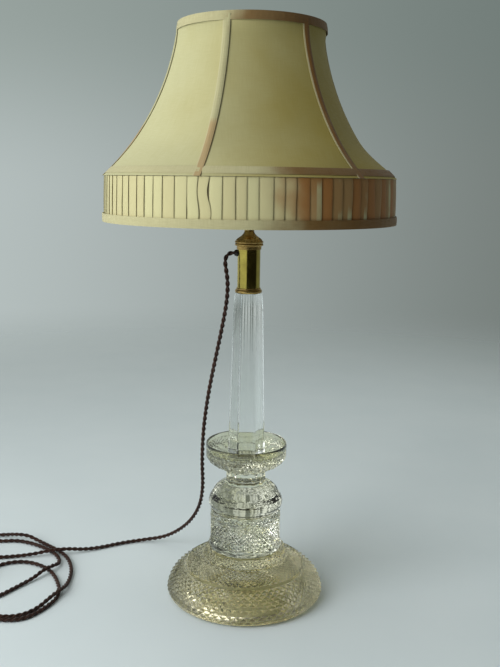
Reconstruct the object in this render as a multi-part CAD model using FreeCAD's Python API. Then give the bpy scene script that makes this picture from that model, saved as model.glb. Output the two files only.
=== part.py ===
import FreeCAD, Part
import math
import os

# Cut-glass column table lamp with a bell shade.  Millimetres, +Z up, origin on the table
# under the middle of the foot.  The flex leaves towards -X.

# ---- Glass sections, from the table up ------------------------------------------------
PAD_T = 1.5                    # baize ring under the foot
FOOT_R = 115.0                 # widest radius of the domed foot
FOOT_SEAT_R = 108.0            # outer radius of the flat it stands on
FOOT_LIP = 18.0                # width of the rim round the hollow underside
FOOT_WIDEST_H = 8.5
FOOT_HOLLOW_H = 37.0
DOME_MID_INSET = 8.5           # the dome passes this far inside the rim at DOME_MID_H
DOME_MID_H = 28.5
DOME_TOP_R, DOME_TOP_H = 77.0, 48.5
COLLAR_R, COLLAR_TOP_R = 62.5, 58.6
COLLAR_BASE_H, FOOT_H = 58.0, 70.5
COLLAR_SIDES = 10
DRUM_R, DRUM_H = 51.0, 58.0
DRUM_RING_R, DRUM_RING_H = 53.0, 7.4
SHOULDER_SEAT_R, SHOULDER_R, SHOULDER_WIDEST_H = 49.0, 54.0, 10.8
GROOVE_R, GROOVE_H, GROOVE_DEPTH = 47.6, 24.8, 2.0
TIER_R, TIER_H, TIER_TOP_R, TIER_TOP_H = 43.9, 30.8, 37.5, 35.4
NECK_R, NECK_BASE_H, SHOULDER_H = 28.0, 39.0, 58.8
DISH_SEAT_R, DISH_R, DISH_H = 31.0, 58.4, 39.4
DISH_FLOOR_R, DISH_FLOOR_H, DISH_RIM_T = 46.0, 22.4, 2.8
DISH_SEAT_H, DISH_BELLY_INSET, DISH_BELLY_H, DISH_SIDE_H = 2.0, 10.4, 8.0, 18.4
COLUMN_R, COLUMN_TOP_R, COLUMN_H = 26.5, 21.0, 233.4
COLUMN_COLLAR_R, COLUMN_COLLAR_H = 17.7, 6.0
COLUMN_SHOULDER_H = 24.0
COLUMN_SIDES = 6
SPIGOT_R, SPIGOT_H = 18.0, 8.0
CEMENT_T = 0.6                 # clear cement between two sections, and round each spigot

# ---- Brass candle tube and cap --------------------------------------------------------
TUBE_R, TUBE_WALL, TUBE_H = 16.0, 0.8, 62.0
PEG_H = 15.0                   # glass peg inside the tube
FERRULE_R, FERRULE_H = 19.0, 7.0
CORD_HOLE_DROP = 6.9           # from the tube's top down to the cord hole
BUSH_R, BUSH_FLANGE_R, BUSH_FLANGE_T, BUSH_REACH = 4.2, 5.0, 1.2, 4.0
CAP_SKIRT_R, CAP_SKIRT_LAP = 17.2, 1.5
CAP_FLANGE_R, CAP_FLANGE_H = 20.0, 11.5
CAP_BELL_R, CAP_NECK_R = 18.0, 6.6
CAP_BELL_H, CAP_BELL_TOP_H, CAP_H = 13.0, 25.0, 40.0
CAP_WALL = 2.4
CAP_CEILING_H = 15.0
NIPPLE_R, NIPPLE_BORE_R, NIPPLE_ENGAGE = 5.0, 3.2, 5.0
NUT_ACROSS, NUT_T = 14.0, 4.0

# ---- Bayonet lampholder with a push-bar switch ----------------------------------------
HOLDER_WALL, HOLDER_BASE_R = 1.5, 8.0
HOLDER_BASE_H, HOLDER_DOME_H, HOLDER_CAP_H = 5.0, 12.0, 26.0
SWITCH_H, BAR_R, BAR_HALF, BAR_TRAVEL = 18.5, 2.5, 21.0, 5.0
SHELL_R, SHELL_WALL, SHELL_H = 14.2, 0.9, 36.0
HOLDER_R = SHELL_R + 2.3       # the cap is a little wider than the shell
SHELL_LAP, FLANGE_T = 2.0, 1.5
CORE_H = 12.0                  # insulating core, above the shell's flange
SLEEVE_R, SLEEVE_WALL = 12.3, 0.8
PLUNGER_R, PLUNGER_X, PLUNGER_L, PLUNGER_TRAVEL = 2.3, 5.5, 9.0, 3.0
PLUNGER_PROUD = 3.0            # above the core, with the bulb in
LEAD_R, LEAD_PITCH, LEAD_SPREAD, LEAD_BEND_R = 1.1, 1.3, 7.0, 9.0
SHADE_RING_R, SHADE_RING_T = 20.0, 4.4
SHADE_RING_H = 18.0            # lower shade ring, above the holder's cap

# ---- Bulb -----------------------------------------------------------------------------
BULB_CAP_R, BULB_CAP_L, BULB_CAP_WALL = 11.0, 24.5, 0.5
BULB_PIN_R, BULB_PIN_REACH, BULB_PIN_H = 1.0, 1.7, 6.0
BULB_BASE_T, BULB_CONTACT_R, BULB_CONTACT_T = 2.5, 2.6, 0.5
BULB_R, BULB_L, BULB_WALL, BULB_NECK_R = 30.0, 106.0, 0.8, 10.3
BULB_SEAL = 6.0                # how far the glass goes into the cap
BAYONET_TURN = 20.0            # degrees from locked to free
STEM_R, STEM_L = 4.0, 50.0
FILAMENT_R, FILAMENT_ARC_R = 0.35, 14.0

# ---- Shade carrier, gimbal and spider -------------------------------------------------
CARRIER_RING_R, CARRIER_RING_T = 24.0, 1.6
CARRIER_WIRE_R, CARRIER_SPAN, CARRIER_RISE = 1.6, 40.0, 160.0
CARRIER_SHOULDER_DROP, CARRIER_BEND_R = 34.0, 8.0
BOSS_R, BOSS_T, STUD_R, STUD_L = 11.0, 8.0, 3.0, 15.0
GIMBAL_R, GIMBAL_T, TRUNNION_R = 14.0, 3.0, 1.5
SPIDER_BORE_R = GIMBAL_R + 1.0
SPIDER_R = SPIDER_BORE_R + 3.5
SPIDER_T, SPIDER_RISE = 5.0, 50.0
SPIDER_ARM_R, SPIDER_ARMS = 1.5, 3
FINIAL_R, FINIAL_NECK_R, FINIAL_BALL_R, FINIAL_TIP_R, FINIAL_H = 6.5, 3.9, 5.2, 1.2, 19.0
TILT_LIMIT = 10.0              # degrees either way

# ---- Shade ----------------------------------------------------------------------------
SHADE_R, SHADE_TOP_R = 200.0, 98.0
BAND_TOP_R = SHADE_R - 2.0     # the band spreads a little to its hem
SHADE_H, BAND_H = 258.0, 60.0
BELL_SAG = 19.5                # how far the bell curves in from a straight cone
PANELS = 6
FIRST_RIB = -108.0             # degrees from +X; the next ribs follow round
PANEL_GAP = 0.4                # degrees between two panels, under the tape
SILK_T, LINING_T, PLEAT_T = 0.8, 0.6, 3.0
TRIM_T, TRIM_W, RIB_TAPE_W = 0.9, 11.0, 10.5
FRAME_WIRE_R = 1.6

# ---- Fits ------------------------------------------------------------------------------
RUNNING = 0.05                 # radial play where a piece turns or slides
REST_GAP = 0.1                 # between two flat faces on different moving pieces
WIRE_GAP = 0.1                 # between frame wire and cloth

# ---- Flex and plug ---------------------------------------------------------------------
FLEX_R = 3.1
ROUTE_TUBE_R, ROUTE_TOP, ROUTE_FLOOR = 16.0, 502.7, 12.5    # tube and cord hole the route is given for
CORD_ROUTE = [
    (-20.0, 0.0, 502.7), (-25.2, 0.0, 502.7), (-29.7, -1.2, 500.1), (-32.5, -2.6, 495.4),
    (-32.9, -4.2, 488.4), (-31.4, -5.6, 479.5), (-29.2, -6.4, 466.0), (-28.9, -5.4, 448.0),
    (-31.4, -1.8, 425.0), (-37.0, 5.5, 394.0), (-45.6, 15.6, 351.0), (-56.4, 28.4, 296.0),
    (-64.6, 43.2, 236.0), (-67.4, 58.0, 178.0), (-66.0, 71.6, 132.0), (-72.0, 88.6, 94.0),
    (-87.0, 108.6, 61.0), (-109.0, 131.6, 33.0), (-136.0, 150.6, 12.0), (-170.0, 158.6, 3.6),
    (-207.0, 145.0, 3.3), (-241.0, 125.0, 3.4), (-266.0, 113.6, 5.6), (-287.0, 104.8, 7.6),
]
COIL_X, COIL_Y = -401.0, 34.0
COIL_RX, COIL_RY, COIL_H = 137.0, 141.0, 13.0
COIL_BAND = 44.0
PLUG_X, PLUG_Y, PLUG_W, PLUG_L = -432.0, 18.0, 48.0, 50.0
PLUG_COVER_T, PLUG_BASE_T, PLUG_WALL = 14.0, 6.0, 2.5
PLUG_CORNER_R = 9.0
PLUG_ENTRY_H = 7.0
EARTH_PIN, LINE_PIN = (4.0, 8.0, 22.7), (6.3, 4.0, 17.7)
PIN_EARTH_Y, PIN_LINE_Y, PIN_LINE_X = 13.2, -9.0, 11.1
PLUG_SCREW_R, PLUG_SCREW_HEAD_R, PLUG_SCREW_HEAD_T = 1.8, 3.4, 1.5

# ---- Heights that follow from the sizes above -------------------------------------------
FOOT_Z = PAD_T
DRUM_Z = FOOT_Z + FOOT_H + CEMENT_T
SHOULDER_Z = DRUM_Z + DRUM_H + CEMENT_T
DISH_Z = SHOULDER_Z + SHOULDER_H + CEMENT_T
COLUMN_Z = DISH_Z + DISH_FLOOR_H + CEMENT_T
TUBE_Z = COLUMN_Z + COLUMN_H + CEMENT_T
TUBE_TOP = TUBE_Z + TUBE_H
CAP_Z = TUBE_TOP - CAP_SKIRT_LAP
CORD_HOLE_Z = TUBE_TOP - CORD_HOLE_DROP
HOLDER_Z = CAP_Z + CAP_H
SHELL_Z = HOLDER_Z + HOLDER_CAP_H - SHELL_LAP
CORE_Z = SHELL_Z
CORE_TOP = CORE_Z + CORE_H + SHELL_LAP
SHELL_TOP = SHELL_Z + SHELL_H + SHELL_LAP
PLUNGER_TOP = CORE_TOP + PLUNGER_PROUD
BULB_Z = PLUNGER_TOP + REST_GAP + BULB_CONTACT_T
PIN_Z = BULB_Z + BULB_PIN_H
LOWER_RING_Z = HOLDER_Z + HOLDER_CAP_H + SHADE_RING_H - SHADE_RING_T
CARRIER_RING_Z = LOWER_RING_Z + SHADE_RING_T
UPPER_RING_Z = CARRIER_RING_Z + CARRIER_RING_T + REST_GAP
BOSS_TOP = CARRIER_RING_Z + CARRIER_RISE
GIMBAL_Z = BOSS_TOP + REST_GAP
PIVOT_Z = GIMBAL_Z + GIMBAL_T / 2
FINIAL_Z = GIMBAL_Z + GIMBAL_T + REST_GAP
SHADE_TOP = PIVOT_Z + SPIDER_RISE
SHADE_Z = SHADE_TOP - SHADE_H
BAND_TOP = SHADE_Z + BAND_H

UP = FreeCAD.Vector(0, 0, 1)
CENTRE = FreeCAD.Vector(0, 0, 0)


# ---- Helpers ----------------------------------------------------------------------------
def spot(radius, height):
    """A point in the XZ plane."""
    return FreeCAD.Vector(radius, 0, height)


def outline(start, *steps):
    """Closed face in the XZ plane.  A step is a point, for a line, or two, for an arc."""
    edges = []
    here = start
    for step in steps:
        if isinstance(step[0], tuple):
            middle, end = step
            edges.append(Part.Arc(spot(*here), spot(*middle), spot(*end)).toShape())
        else:
            end = step
            edges.append(Part.LineSegment(spot(*here), spot(*end)).toShape())
        here = end
    if here != start:
        edges.append(Part.LineSegment(spot(*here), spot(*start)).toShape())
    return Part.Face(Part.Wire(edges))


def turned(start, *steps, lift=0.0, angle=360.0):
    """Solid of revolution about the lamp's axis, raised by lift."""
    solid = outline(start, *steps).revolve(CENTRE, UP, angle)
    solid.translate(FreeCAD.Vector(0, 0, lift))
    return solid


def rod(radius, length, foot, direction=UP):
    """Plain cylinder."""
    return Part.makeCylinder(radius, length, foot, direction)


def sleeve(outer, inner, length, height):
    """Upright tube about the lamp's axis."""
    foot = FreeCAD.Vector(0, 0, height)
    return rod(outer, length, foot).cut(rod(inner, length, foot))


def spun(shape, degrees):
    """Copy of a shape turned about the lamp's axis."""
    copy = shape.copy()
    copy.rotate(CENTRE, UP, degrees)
    return copy


def around(shape, count, first=0.0):
    """Equal copies of a shape round the lamp's axis."""
    return [spun(shape, first + 360.0 * place / count) for place in range(count)]


def prism(sides, radius, height, top_radius, top_height, first=0.0):
    """Tapered prism with its corners at the given radii."""
    rings = []
    for ring_radius, level in ((radius, height), (top_radius, top_height)):
        corners = [
            FreeCAD.Vector(
                ring_radius * math.cos(math.radians(first + 360.0 * side / sides)),
                ring_radius * math.sin(math.radians(first + 360.0 * side / sides)),
                level,
            )
            for side in range(sides)
        ]
        rings.append(Part.makePolygon(corners + corners[:1]))
    return Part.makeLoft(rings, True, True)


def rounded_block(width, length, height, corner, middle):
    """Upright block with rounded corners; middle is the centre of its underside."""
    block = Part.makeBox(width, length, height, middle - FreeCAD.Vector(width / 2, length / 2, 0))
    upright = [edge for edge in block.Edges if abs(edge.tangentAt(edge.FirstParameter).z) > 0.9]
    return block.makeFillet(corner, upright)


def path_with_bends(points, bend_radius=None):
    """Wire of straight runs joined by tangent arcs, with the radius of each arc.

    With no bend_radius, each arc is as large as its two runs allow.
    """
    spots = [FreeCAD.Vector(*point) for point in points]
    edges, radii = [], []
    here = spots[0]
    for before, corner, after in zip(spots, spots[1:], spots[2:]):
        back, ahead = before - corner, after - corner
        shorter = min(back.Length, ahead.Length)
        half_turn = (math.pi - back.getAngle(ahead)) / 2
        radius = bend_radius or 0.45 * shorter / math.tan(half_turn)
        reach = radius * math.tan(half_turn)
        back.normalize()
        ahead.normalize()
        start, end = corner + back * reach, corner + ahead * reach
        inward = back + ahead
        inward.normalize()
        middle = corner + inward * (radius / math.cos(half_turn) - radius)
        edges.append(Part.LineSegment(here, start).toShape())
        edges.append(Part.Arc(start, middle, end).toShape())
        radii.append(radius)
        here = end
    edges.append(Part.LineSegment(here, spots[-1]).toShape())
    return Part.Wire(edges), radii


def wire_rod(points, radius, bend_radius=None):
    """Round bar along a path of runs and bends, with its arcs' radii and its length."""
    wire, radii = path_with_bends(points, bend_radius)
    first = wire.Edges[0]
    along = first.tangentAt(first.FirstParameter)
    section = Part.Wire(Part.makeCircle(radius, FreeCAD.Vector(*points[0]), along))
    return wire.makePipeShell([section], True, True), radii, wire.Length


def group(solids):
    """Separate solids kept in one node."""
    return Part.makeCompound([solid for shape in solids for solid in shape.Solids])


# ---- Glass ------------------------------------------------------------------------------
def spigot(height, radius=SPIGOT_R, length=SPIGOT_H):
    """Short peg on top of a glass section, reaching a little into it."""
    return rod(radius, length + 1.0, FreeCAD.Vector(0, 0, height - 1.0))


def socket(height, radius=SPIGOT_R, length=SPIGOT_H):
    """Room for a spigot and its cement, cut into the section above."""
    return rod(radius + CEMENT_T, length, FreeCAD.Vector(0, 0, height + CEMENT_T))


def cement(height, face_radius, radius=SPIGOT_R, length=SPIGOT_H):
    """Clear cement between two sections whose joint is at the given height."""
    disc = rod(face_radius, CEMENT_T, FreeCAD.Vector(0, 0, height))
    peg = rod(radius, length, FreeCAD.Vector(0, 0, height))
    return disc.fuse(socket(height, radius, length)).cut(peg).removeSplitter()


def baize_pad():
    return sleeve(FOOT_SEAT_R - 1.0, FOOT_R - FOOT_LIP, PAD_T, 0)


def glass_foot():
    dome = turned(
        (FOOT_R - FOOT_LIP, 0), (FOOT_SEAT_R, 0),
        ((FOOT_R - 1.6, 3.0), (FOOT_R, FOOT_WIDEST_H)),
        ((FOOT_R - DOME_MID_INSET, DOME_MID_H), (DOME_TOP_R, DOME_TOP_H)),
        (COLLAR_TOP_R - 2.0, COLLAR_BASE_H), (COLLAR_TOP_R - 2.0, FOOT_H), (0, FOOT_H),
        (0, FOOT_HOLLOW_H), ((FOOT_R - 2.5 * FOOT_LIP, 24.0), (FOOT_R - FOOT_LIP, 0)),
        lift=FOOT_Z,
    )
    collar = prism(COLLAR_SIDES, COLLAR_R, FOOT_Z + COLLAR_BASE_H, COLLAR_TOP_R, FOOT_Z + FOOT_H, 9.0)
    return dome.fuse([collar, spigot(FOOT_Z + FOOT_H)]).removeSplitter()


def glass_drum():
    body = turned(
        (0, 0), (DRUM_RING_R - 1, 0), (DRUM_RING_R, 1), (DRUM_RING_R, DRUM_RING_H - 1),
        (DRUM_R, DRUM_RING_H), (DRUM_R, DRUM_H - 2), (DRUM_R - 1.5, DRUM_H), (0, DRUM_H),
        lift=DRUM_Z,
    )
    return body.fuse(spigot(DRUM_Z + DRUM_H)).cut(socket(DRUM_Z - CEMENT_T)).removeSplitter()


def glass_shoulder():
    body = turned(
        (0, 0), (SHOULDER_SEAT_R, 0), ((SHOULDER_R, SHOULDER_WIDEST_H), (GROOVE_R, GROOVE_H)),
        (GROOVE_R - GROOVE_DEPTH, GROOVE_H + 0.8), (GROOVE_R - 1.2, GROOVE_H + 1.8),
        ((TIER_R, TIER_H), (TIER_TOP_R, TIER_TOP_H)),
        (NECK_R, NECK_BASE_H), (NECK_R, SHOULDER_H), (0, SHOULDER_H),
        lift=SHOULDER_Z,
    )
    top = SHOULDER_Z + SHOULDER_H
    return body.fuse(spigot(top)).cut(socket(SHOULDER_Z - CEMENT_T)).removeSplitter()


def drip_dish():
    rim_z = DISH_H - DISH_RIM_T / 2
    body = turned(
        (0, 0), (DISH_SEAT_R, 0), (DISH_SEAT_R, DISH_SEAT_H),
        ((DISH_R - DISH_BELLY_INSET, DISH_BELLY_H), (DISH_R - 1, DISH_SIDE_H)), (DISH_R, rim_z),
        ((DISH_R - DISH_RIM_T / 2, DISH_H), (DISH_R - DISH_RIM_T, rim_z)),
        (DISH_FLOOR_R, DISH_FLOOR_H), (0, DISH_FLOOR_H),
        lift=DISH_Z,
    )
    floor_z = DISH_Z + DISH_FLOOR_H
    return body.fuse(spigot(floor_z)).cut(socket(DISH_Z - CEMENT_T)).removeSplitter()


def glass_column():
    shoulder = COLUMN_H - COLUMN_SHOULDER_H
    body = turned(
        (0, 0), (COLUMN_R, 0), (COLUMN_TOP_R, shoulder),
        (COLUMN_COLLAR_R, COLUMN_H - COLUMN_COLLAR_H), (COLUMN_COLLAR_R, COLUMN_H), (0, COLUMN_H),
        lift=COLUMN_Z,
    )
    flats = prism(COLUMN_SIDES, COLUMN_R * 1.03, COLUMN_Z, COLUMN_TOP_R, COLUMN_Z + COLUMN_H)
    body = body.common(flats)
    top = COLUMN_Z + COLUMN_H
    peg = spigot(top, TUBE_R - TUBE_WALL - CEMENT_T, PEG_H)
    return body.fuse(peg).cut(socket(COLUMN_Z - CEMENT_T)).removeSplitter()


def cement_layers():
    peg_r = TUBE_R - TUBE_WALL - CEMENT_T
    return group([
        cement(FOOT_Z + FOOT_H, DRUM_RING_R - 3),
        cement(DRUM_Z + DRUM_H, SHOULDER_SEAT_R - 2),
        cement(SHOULDER_Z + SHOULDER_H, NECK_R - 1),
        cement(DISH_Z + DISH_FLOOR_H, COLUMN_R * math.cos(math.pi / COLUMN_SIDES) - 1),
        cement(COLUMN_Z + COLUMN_H, TUBE_R, peg_r, PEG_H),
    ])


# ---- Brass fitting ----------------------------------------------------------------------
def ferrule_ring():
    bead = FERRULE_R - 1.0
    return turned(
        (TUBE_R, 0), (bead, 0), ((FERRULE_R, FERRULE_H * 0.3), (bead, FERRULE_H * 0.6)),
        (bead - 0.8, FERRULE_H), (TUBE_R, FERRULE_H),
        lift=TUBE_Z,
    )


def candle_tube():
    tube = sleeve(TUBE_R, TUBE_R - TUBE_WALL, TUBE_H, TUBE_Z)
    return tube.cut(rod(BUSH_R, TUBE_R + 2, FreeCAD.Vector(0, 0, CORD_HOLE_Z), FreeCAD.Vector(-1, 0, 0)))


def brass_cap():
    body = turned(
        (TUBE_R, 0), (CAP_SKIRT_R, 0), (CAP_SKIRT_R, 4.5), (CAP_FLANGE_R - 0.8, 5.0),
        ((CAP_FLANGE_R, 6.4), (CAP_FLANGE_R - 0.8, 7.8)), (CAP_FLANGE_R - 1.4, 8.3),
        (CAP_FLANGE_R - 0.8, 8.8), ((CAP_FLANGE_R, 10.1), (CAP_FLANGE_R - 0.8, CAP_FLANGE_H)),
        (CAP_BELL_R, CAP_BELL_H),
        ((CAP_BELL_R - 5.0, CAP_BELL_H + 4.6), (CAP_NECK_R, CAP_BELL_TOP_H)),
        (CAP_NECK_R, CAP_H), (NIPPLE_R, CAP_H), (NIPPLE_R, CAP_CEILING_H),
        (NUT_ACROSS / 2 + CAP_WALL, CAP_CEILING_H),
        (NUT_ACROSS / 2 + CAP_WALL, CAP_CEILING_H - NUT_T),
        (TUBE_R - CAP_WALL, CAP_CEILING_H - NUT_T), (TUBE_R - CAP_WALL, CAP_SKIRT_LAP),
        (TUBE_R, CAP_SKIRT_LAP),
        lift=CAP_Z,
    )
    return body


def threaded_nipple():
    foot = CAP_Z + CAP_CEILING_H - NUT_T - 1.0
    return sleeve(NIPPLE_R, NIPPLE_BORE_R, HOLDER_Z + NIPPLE_ENGAGE - foot, foot)


def lock_nut():
    top = CAP_Z + CAP_CEILING_H
    corner = NUT_ACROSS / math.sqrt(3)
    blank = prism(6, corner, top - NUT_T, corner, top)
    return blank.cut(rod(NIPPLE_R, NUT_T, FreeCAD.Vector(0, 0, top - NUT_T)))


def cord_bush():
    outward = FreeCAD.Vector(-1, 0, 0)
    wall = FreeCAD.Vector(-(TUBE_R - TUBE_WALL - 1.5), 0, CORD_HOLE_Z)
    end = TUBE_R + BUSH_REACH
    body = rod(BUSH_R, end + wall.x, wall, outward)
    flat = FreeCAD.Vector(-(TUBE_R + 0.4), 0, CORD_HOLE_Z)
    tube = rod(TUBE_R, TUBE_H, FreeCAD.Vector(0, 0, TUBE_Z))
    flange = rod(BUSH_FLANGE_R, BUSH_FLANGE_T, flat, outward).cut(tube)
    bore = rod(LEAD_PITCH + LEAD_R + RUNNING, end, FreeCAD.Vector(0, 0, CORD_HOLE_Z), outward)
    return body.fuse(flange).cut(bore)


# ---- Lampholder -------------------------------------------------------------------------
def holder_cap():
    inner = HOLDER_R - HOLDER_WALL
    body = turned(
        (NIPPLE_R, 0), (HOLDER_BASE_R, 0), (HOLDER_BASE_R, HOLDER_BASE_H),
        ((HOLDER_R - 2.4, HOLDER_DOME_H - 4.4), (HOLDER_R, HOLDER_DOME_H)),
        (HOLDER_R, HOLDER_CAP_H), (SHELL_R, HOLDER_CAP_H),
        (SHELL_R, HOLDER_CAP_H - SHELL_LAP + FLANGE_T), (inner, HOLDER_CAP_H - SHELL_LAP + FLANGE_T),
        (inner, HOLDER_DOME_H), ((HOLDER_R - 3.6, HOLDER_DOME_H - 3.2), (HOLDER_BASE_R, HOLDER_BASE_H + 3)),
        (NIPPLE_R, HOLDER_BASE_H + 3),
        lift=HOLDER_Z,
    )
    left = FreeCAD.Vector(-HOLDER_R, 0, HOLDER_Z + SWITCH_H)
    return body.cut(rod(BAR_R + RUNNING, 2 * HOLDER_R, left, FreeCAD.Vector(1, 0, 0)))


def push_bar():
    """Switch bar, pushed to its -X stop."""
    foot = FreeCAD.Vector(-BAR_HALF - BAR_TRAVEL / 2, 0, HOLDER_Z + SWITCH_H)
    bar = rod(BAR_R, 2 * BAR_HALF, foot, FreeCAD.Vector(1, 0, 0))
    return bar.makeFillet(BAR_R * 0.5, [edge for edge in bar.Edges if isinstance(edge.Curve, Part.Circle)])


def holder_shell():
    inner = SHELL_R - SHELL_WALL
    flange = sleeve(HOLDER_R - HOLDER_WALL, inner, FLANGE_T, SHELL_Z)
    return sleeve(SHELL_R, inner, SHELL_TOP - SHELL_Z, SHELL_Z).fuse(flange).removeSplitter()


def holder_core():
    height = CORE_TOP - CORE_Z
    core = rod(SHELL_R - SHELL_WALL, height, FreeCAD.Vector(0, 0, CORE_Z))
    for side in (-1, 1):
        floor_z = CORE_TOP + PLUNGER_PROUD - PLUNGER_L - PLUNGER_TRAVEL - 2.0
        core = core.cut(rod(PLUNGER_R + RUNNING, height, FreeCAD.Vector(side * PLUNGER_X, 0, floor_z)))
        core = core.cut(rod(LEAD_R, 3.0, FreeCAD.Vector(0, side * LEAD_SPREAD, CORE_Z)))
    return core


def bayonet_sleeve():
    """Sleeve with two J slots: each pin drops down the upright part and turns along the foot."""
    inner = SLEEVE_R - SLEEVE_WALL
    body = sleeve(SLEEVE_R, inner, SHELL_TOP - CORE_TOP, CORE_TOP)
    body = body.fuse(sleeve(SHELL_R - SHELL_WALL, inner, FLANGE_T, CORE_TOP))
    half = BULB_PIN_R + 0.3
    corner = FreeCAD.Vector(-half, 0, PIN_Z - half)
    entry = Part.makeBox(2 * half, SLEEVE_R + 1, SHELL_TOP - PIN_Z + half, corner)
    play = math.degrees(half / inner)
    foot = outline((inner - 1, -half), (SLEEVE_R + 1, -half), (SLEEVE_R + 1, half), (inner - 1, half))
    foot = foot.revolve(CENTRE, UP, BAYONET_TURN + 2 * play)
    foot.translate(FreeCAD.Vector(0, 0, PIN_Z))
    foot = spun(foot, 90.0 - play)
    slot = spun(entry, BAYONET_TURN).fuse(foot)
    return body.cut([slot, spun(slot, 180.0)]).removeSplitter()


def plunger(side):
    return rod(PLUNGER_R, PLUNGER_L, FreeCAD.Vector(side * PLUNGER_X, 0, PLUNGER_TOP - PLUNGER_L))


def plunger_spring(side):
    """Spring under a plunger, kept as the tube it fills."""
    length = PLUNGER_TRAVEL + 2.0
    foot = FreeCAD.Vector(side * PLUNGER_X, 0, PLUNGER_TOP - PLUNGER_L - length)
    return rod(PLUNGER_R - 0.3, length, foot).cut(rod(PLUNGER_R - 0.9, length, foot))


def holder_leads():
    """Two insulated leads from the cord hole, up the nipple, to the core."""
    nipple_top = HOLDER_Z + HOLDER_BASE_H
    start = -(TUBE_R + BUSH_REACH)
    leads = []
    for side in (-1, 1):
        near, far = side * LEAD_PITCH, side * LEAD_SPREAD
        points = [
            (start, near, CORD_HOLE_Z), (0, near, CORD_HOLE_Z), (0, near, nipple_top + 3.5),
            (0, far, nipple_top + 11.0), (0, far, CORE_Z + 2.0),
        ]
        lower, _, _ = wire_rod(points[:3], LEAD_R, LEAD_BEND_R)
        upper, _, _ = wire_rod(points[2:], LEAD_R, 3.0)
        joint = Part.makeSphere(LEAD_R, FreeCAD.Vector(*points[2]))
        leads.append(lower.fuse([upper, joint]).removeSplitter())
    return group(leads)


def shade_ring(height):
    bore = SHELL_R + RUNNING
    return turned(
        (bore, 0), (SHADE_RING_R - 1, 0), (SHADE_RING_R, 1), (SHADE_RING_R, SHADE_RING_T - 1),
        (SHADE_RING_R - 1, SHADE_RING_T), (bore, SHADE_RING_T),
        lift=height,
    )


# ---- Bulb -------------------------------------------------------------------------------
def bulb_cap():
    inner = BULB_CAP_R - BULB_CAP_WALL
    shell = sleeve(BULB_CAP_R, inner, BULB_CAP_L, BULB_Z)
    pins = [
        rod(BULB_PIN_R, BULB_PIN_REACH + BULB_CAP_WALL, FreeCAD.Vector(0, side * inner, PIN_Z),
            FreeCAD.Vector(0, side, 0))
        for side in (-1, 1)
    ]
    return shell.fuse(pins).removeSplitter()


def bulb_base():
    """Insulating disc in the bottom of the cap, with its two contacts."""
    disc = rod(BULB_CAP_R - BULB_CAP_WALL, BULB_BASE_T, FreeCAD.Vector(0, 0, BULB_Z))
    contacts = [
        rod(BULB_CONTACT_R, BULB_CONTACT_T + 1.0,
            FreeCAD.Vector(side * PLUNGER_X, 0, BULB_Z - BULB_CONTACT_T))
        for side in (-1, 1)
    ]
    return disc.fuse(contacts).removeSplitter()


def bulb_curve(offset):
    """Outline steps of the bulb from its sealed neck to its top, inset by offset."""
    centre = BULB_L - BULB_R
    radius = BULB_R - offset
    lean = math.radians(22.0)
    join = (radius * math.cos(lean), centre - radius * math.sin(lean))
    neck = BULB_NECK_R - offset
    seal = BULB_CAP_L - BULB_SEAL
    mid = ((neck + join[0]) / 2 - 3.0, (BULB_CAP_L + join[1]) / 2 + 2.0)
    top = (radius * math.cos(math.radians(45)), centre + radius * math.sin(math.radians(45)))
    return (neck, seal), (neck, BULB_CAP_L + 2), mid, join, top, (0, centre + radius)


def bulb_glass():
    seal, neck, mid, join, shoulder, top = bulb_curve(0.0)
    seal_in, neck_in, mid_in, join_in, shoulder_in, top_in = bulb_curve(BULB_WALL)
    return turned(
        seal, neck, (mid, join), (shoulder, top), top_in, (shoulder_in, join_in),
        (mid_in, neck_in), seal_in,
        lift=BULB_Z,
    )


def bulb_stem():
    foot = BULB_CAP_L - BULB_SEAL
    inner = BULB_NECK_R - BULB_WALL
    return turned(
        (0, foot), (inner, foot), (inner, foot + 2), (STEM_R, foot + 10), (STEM_R * 0.6, foot + STEM_L - 10),
        (STEM_R, foot + STEM_L - 4), (STEM_R, foot + STEM_L), (0, foot + STEM_L),
        lift=BULB_Z,
    )


def bulb_filament():
    """Coiled wire held in an open ring above the stem, on two support wires."""
    level = BULB_Z + BULB_CAP_L - BULB_SEAL + STEM_L + 6.0
    gap = math.radians(35.0)
    ends = [
        FreeCAD.Vector(FILAMENT_ARC_R * math.cos(angle), FILAMENT_ARC_R * math.sin(angle), level)
        for angle in (gap, 2 * math.pi - gap)
    ]
    tip = FreeCAD.Vector(-FILAMENT_ARC_R, 0, level)
    arc = Part.Wire(Part.Arc(ends[0], tip, ends[1]).toShape())
    along = arc.Edges[0].tangentAt(arc.Edges[0].FirstParameter)
    ring = arc.makePipeShell([Part.Wire(Part.makeCircle(FILAMENT_R, ends[0], along))], True, True)
    supports = []
    for end in ends + [tip]:
        foot = FreeCAD.Vector(end.x * 0.15, end.y * 0.15, level - 7.0)
        supports.append(rod(FILAMENT_R, (end - foot).Length, foot, end - foot))
        supports.append(Part.makeSphere(FILAMENT_R * 1.3, end))
    return ring.fuse(supports).cut(bulb_stem()).removeSplitter()


# ---- Shade carrier, gimbal and spider -----------------------------------------------------
def carrier_ring():
    return sleeve(CARRIER_RING_R, SHELL_R + RUNNING, CARRIER_RING_T, CARRIER_RING_Z)


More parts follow.
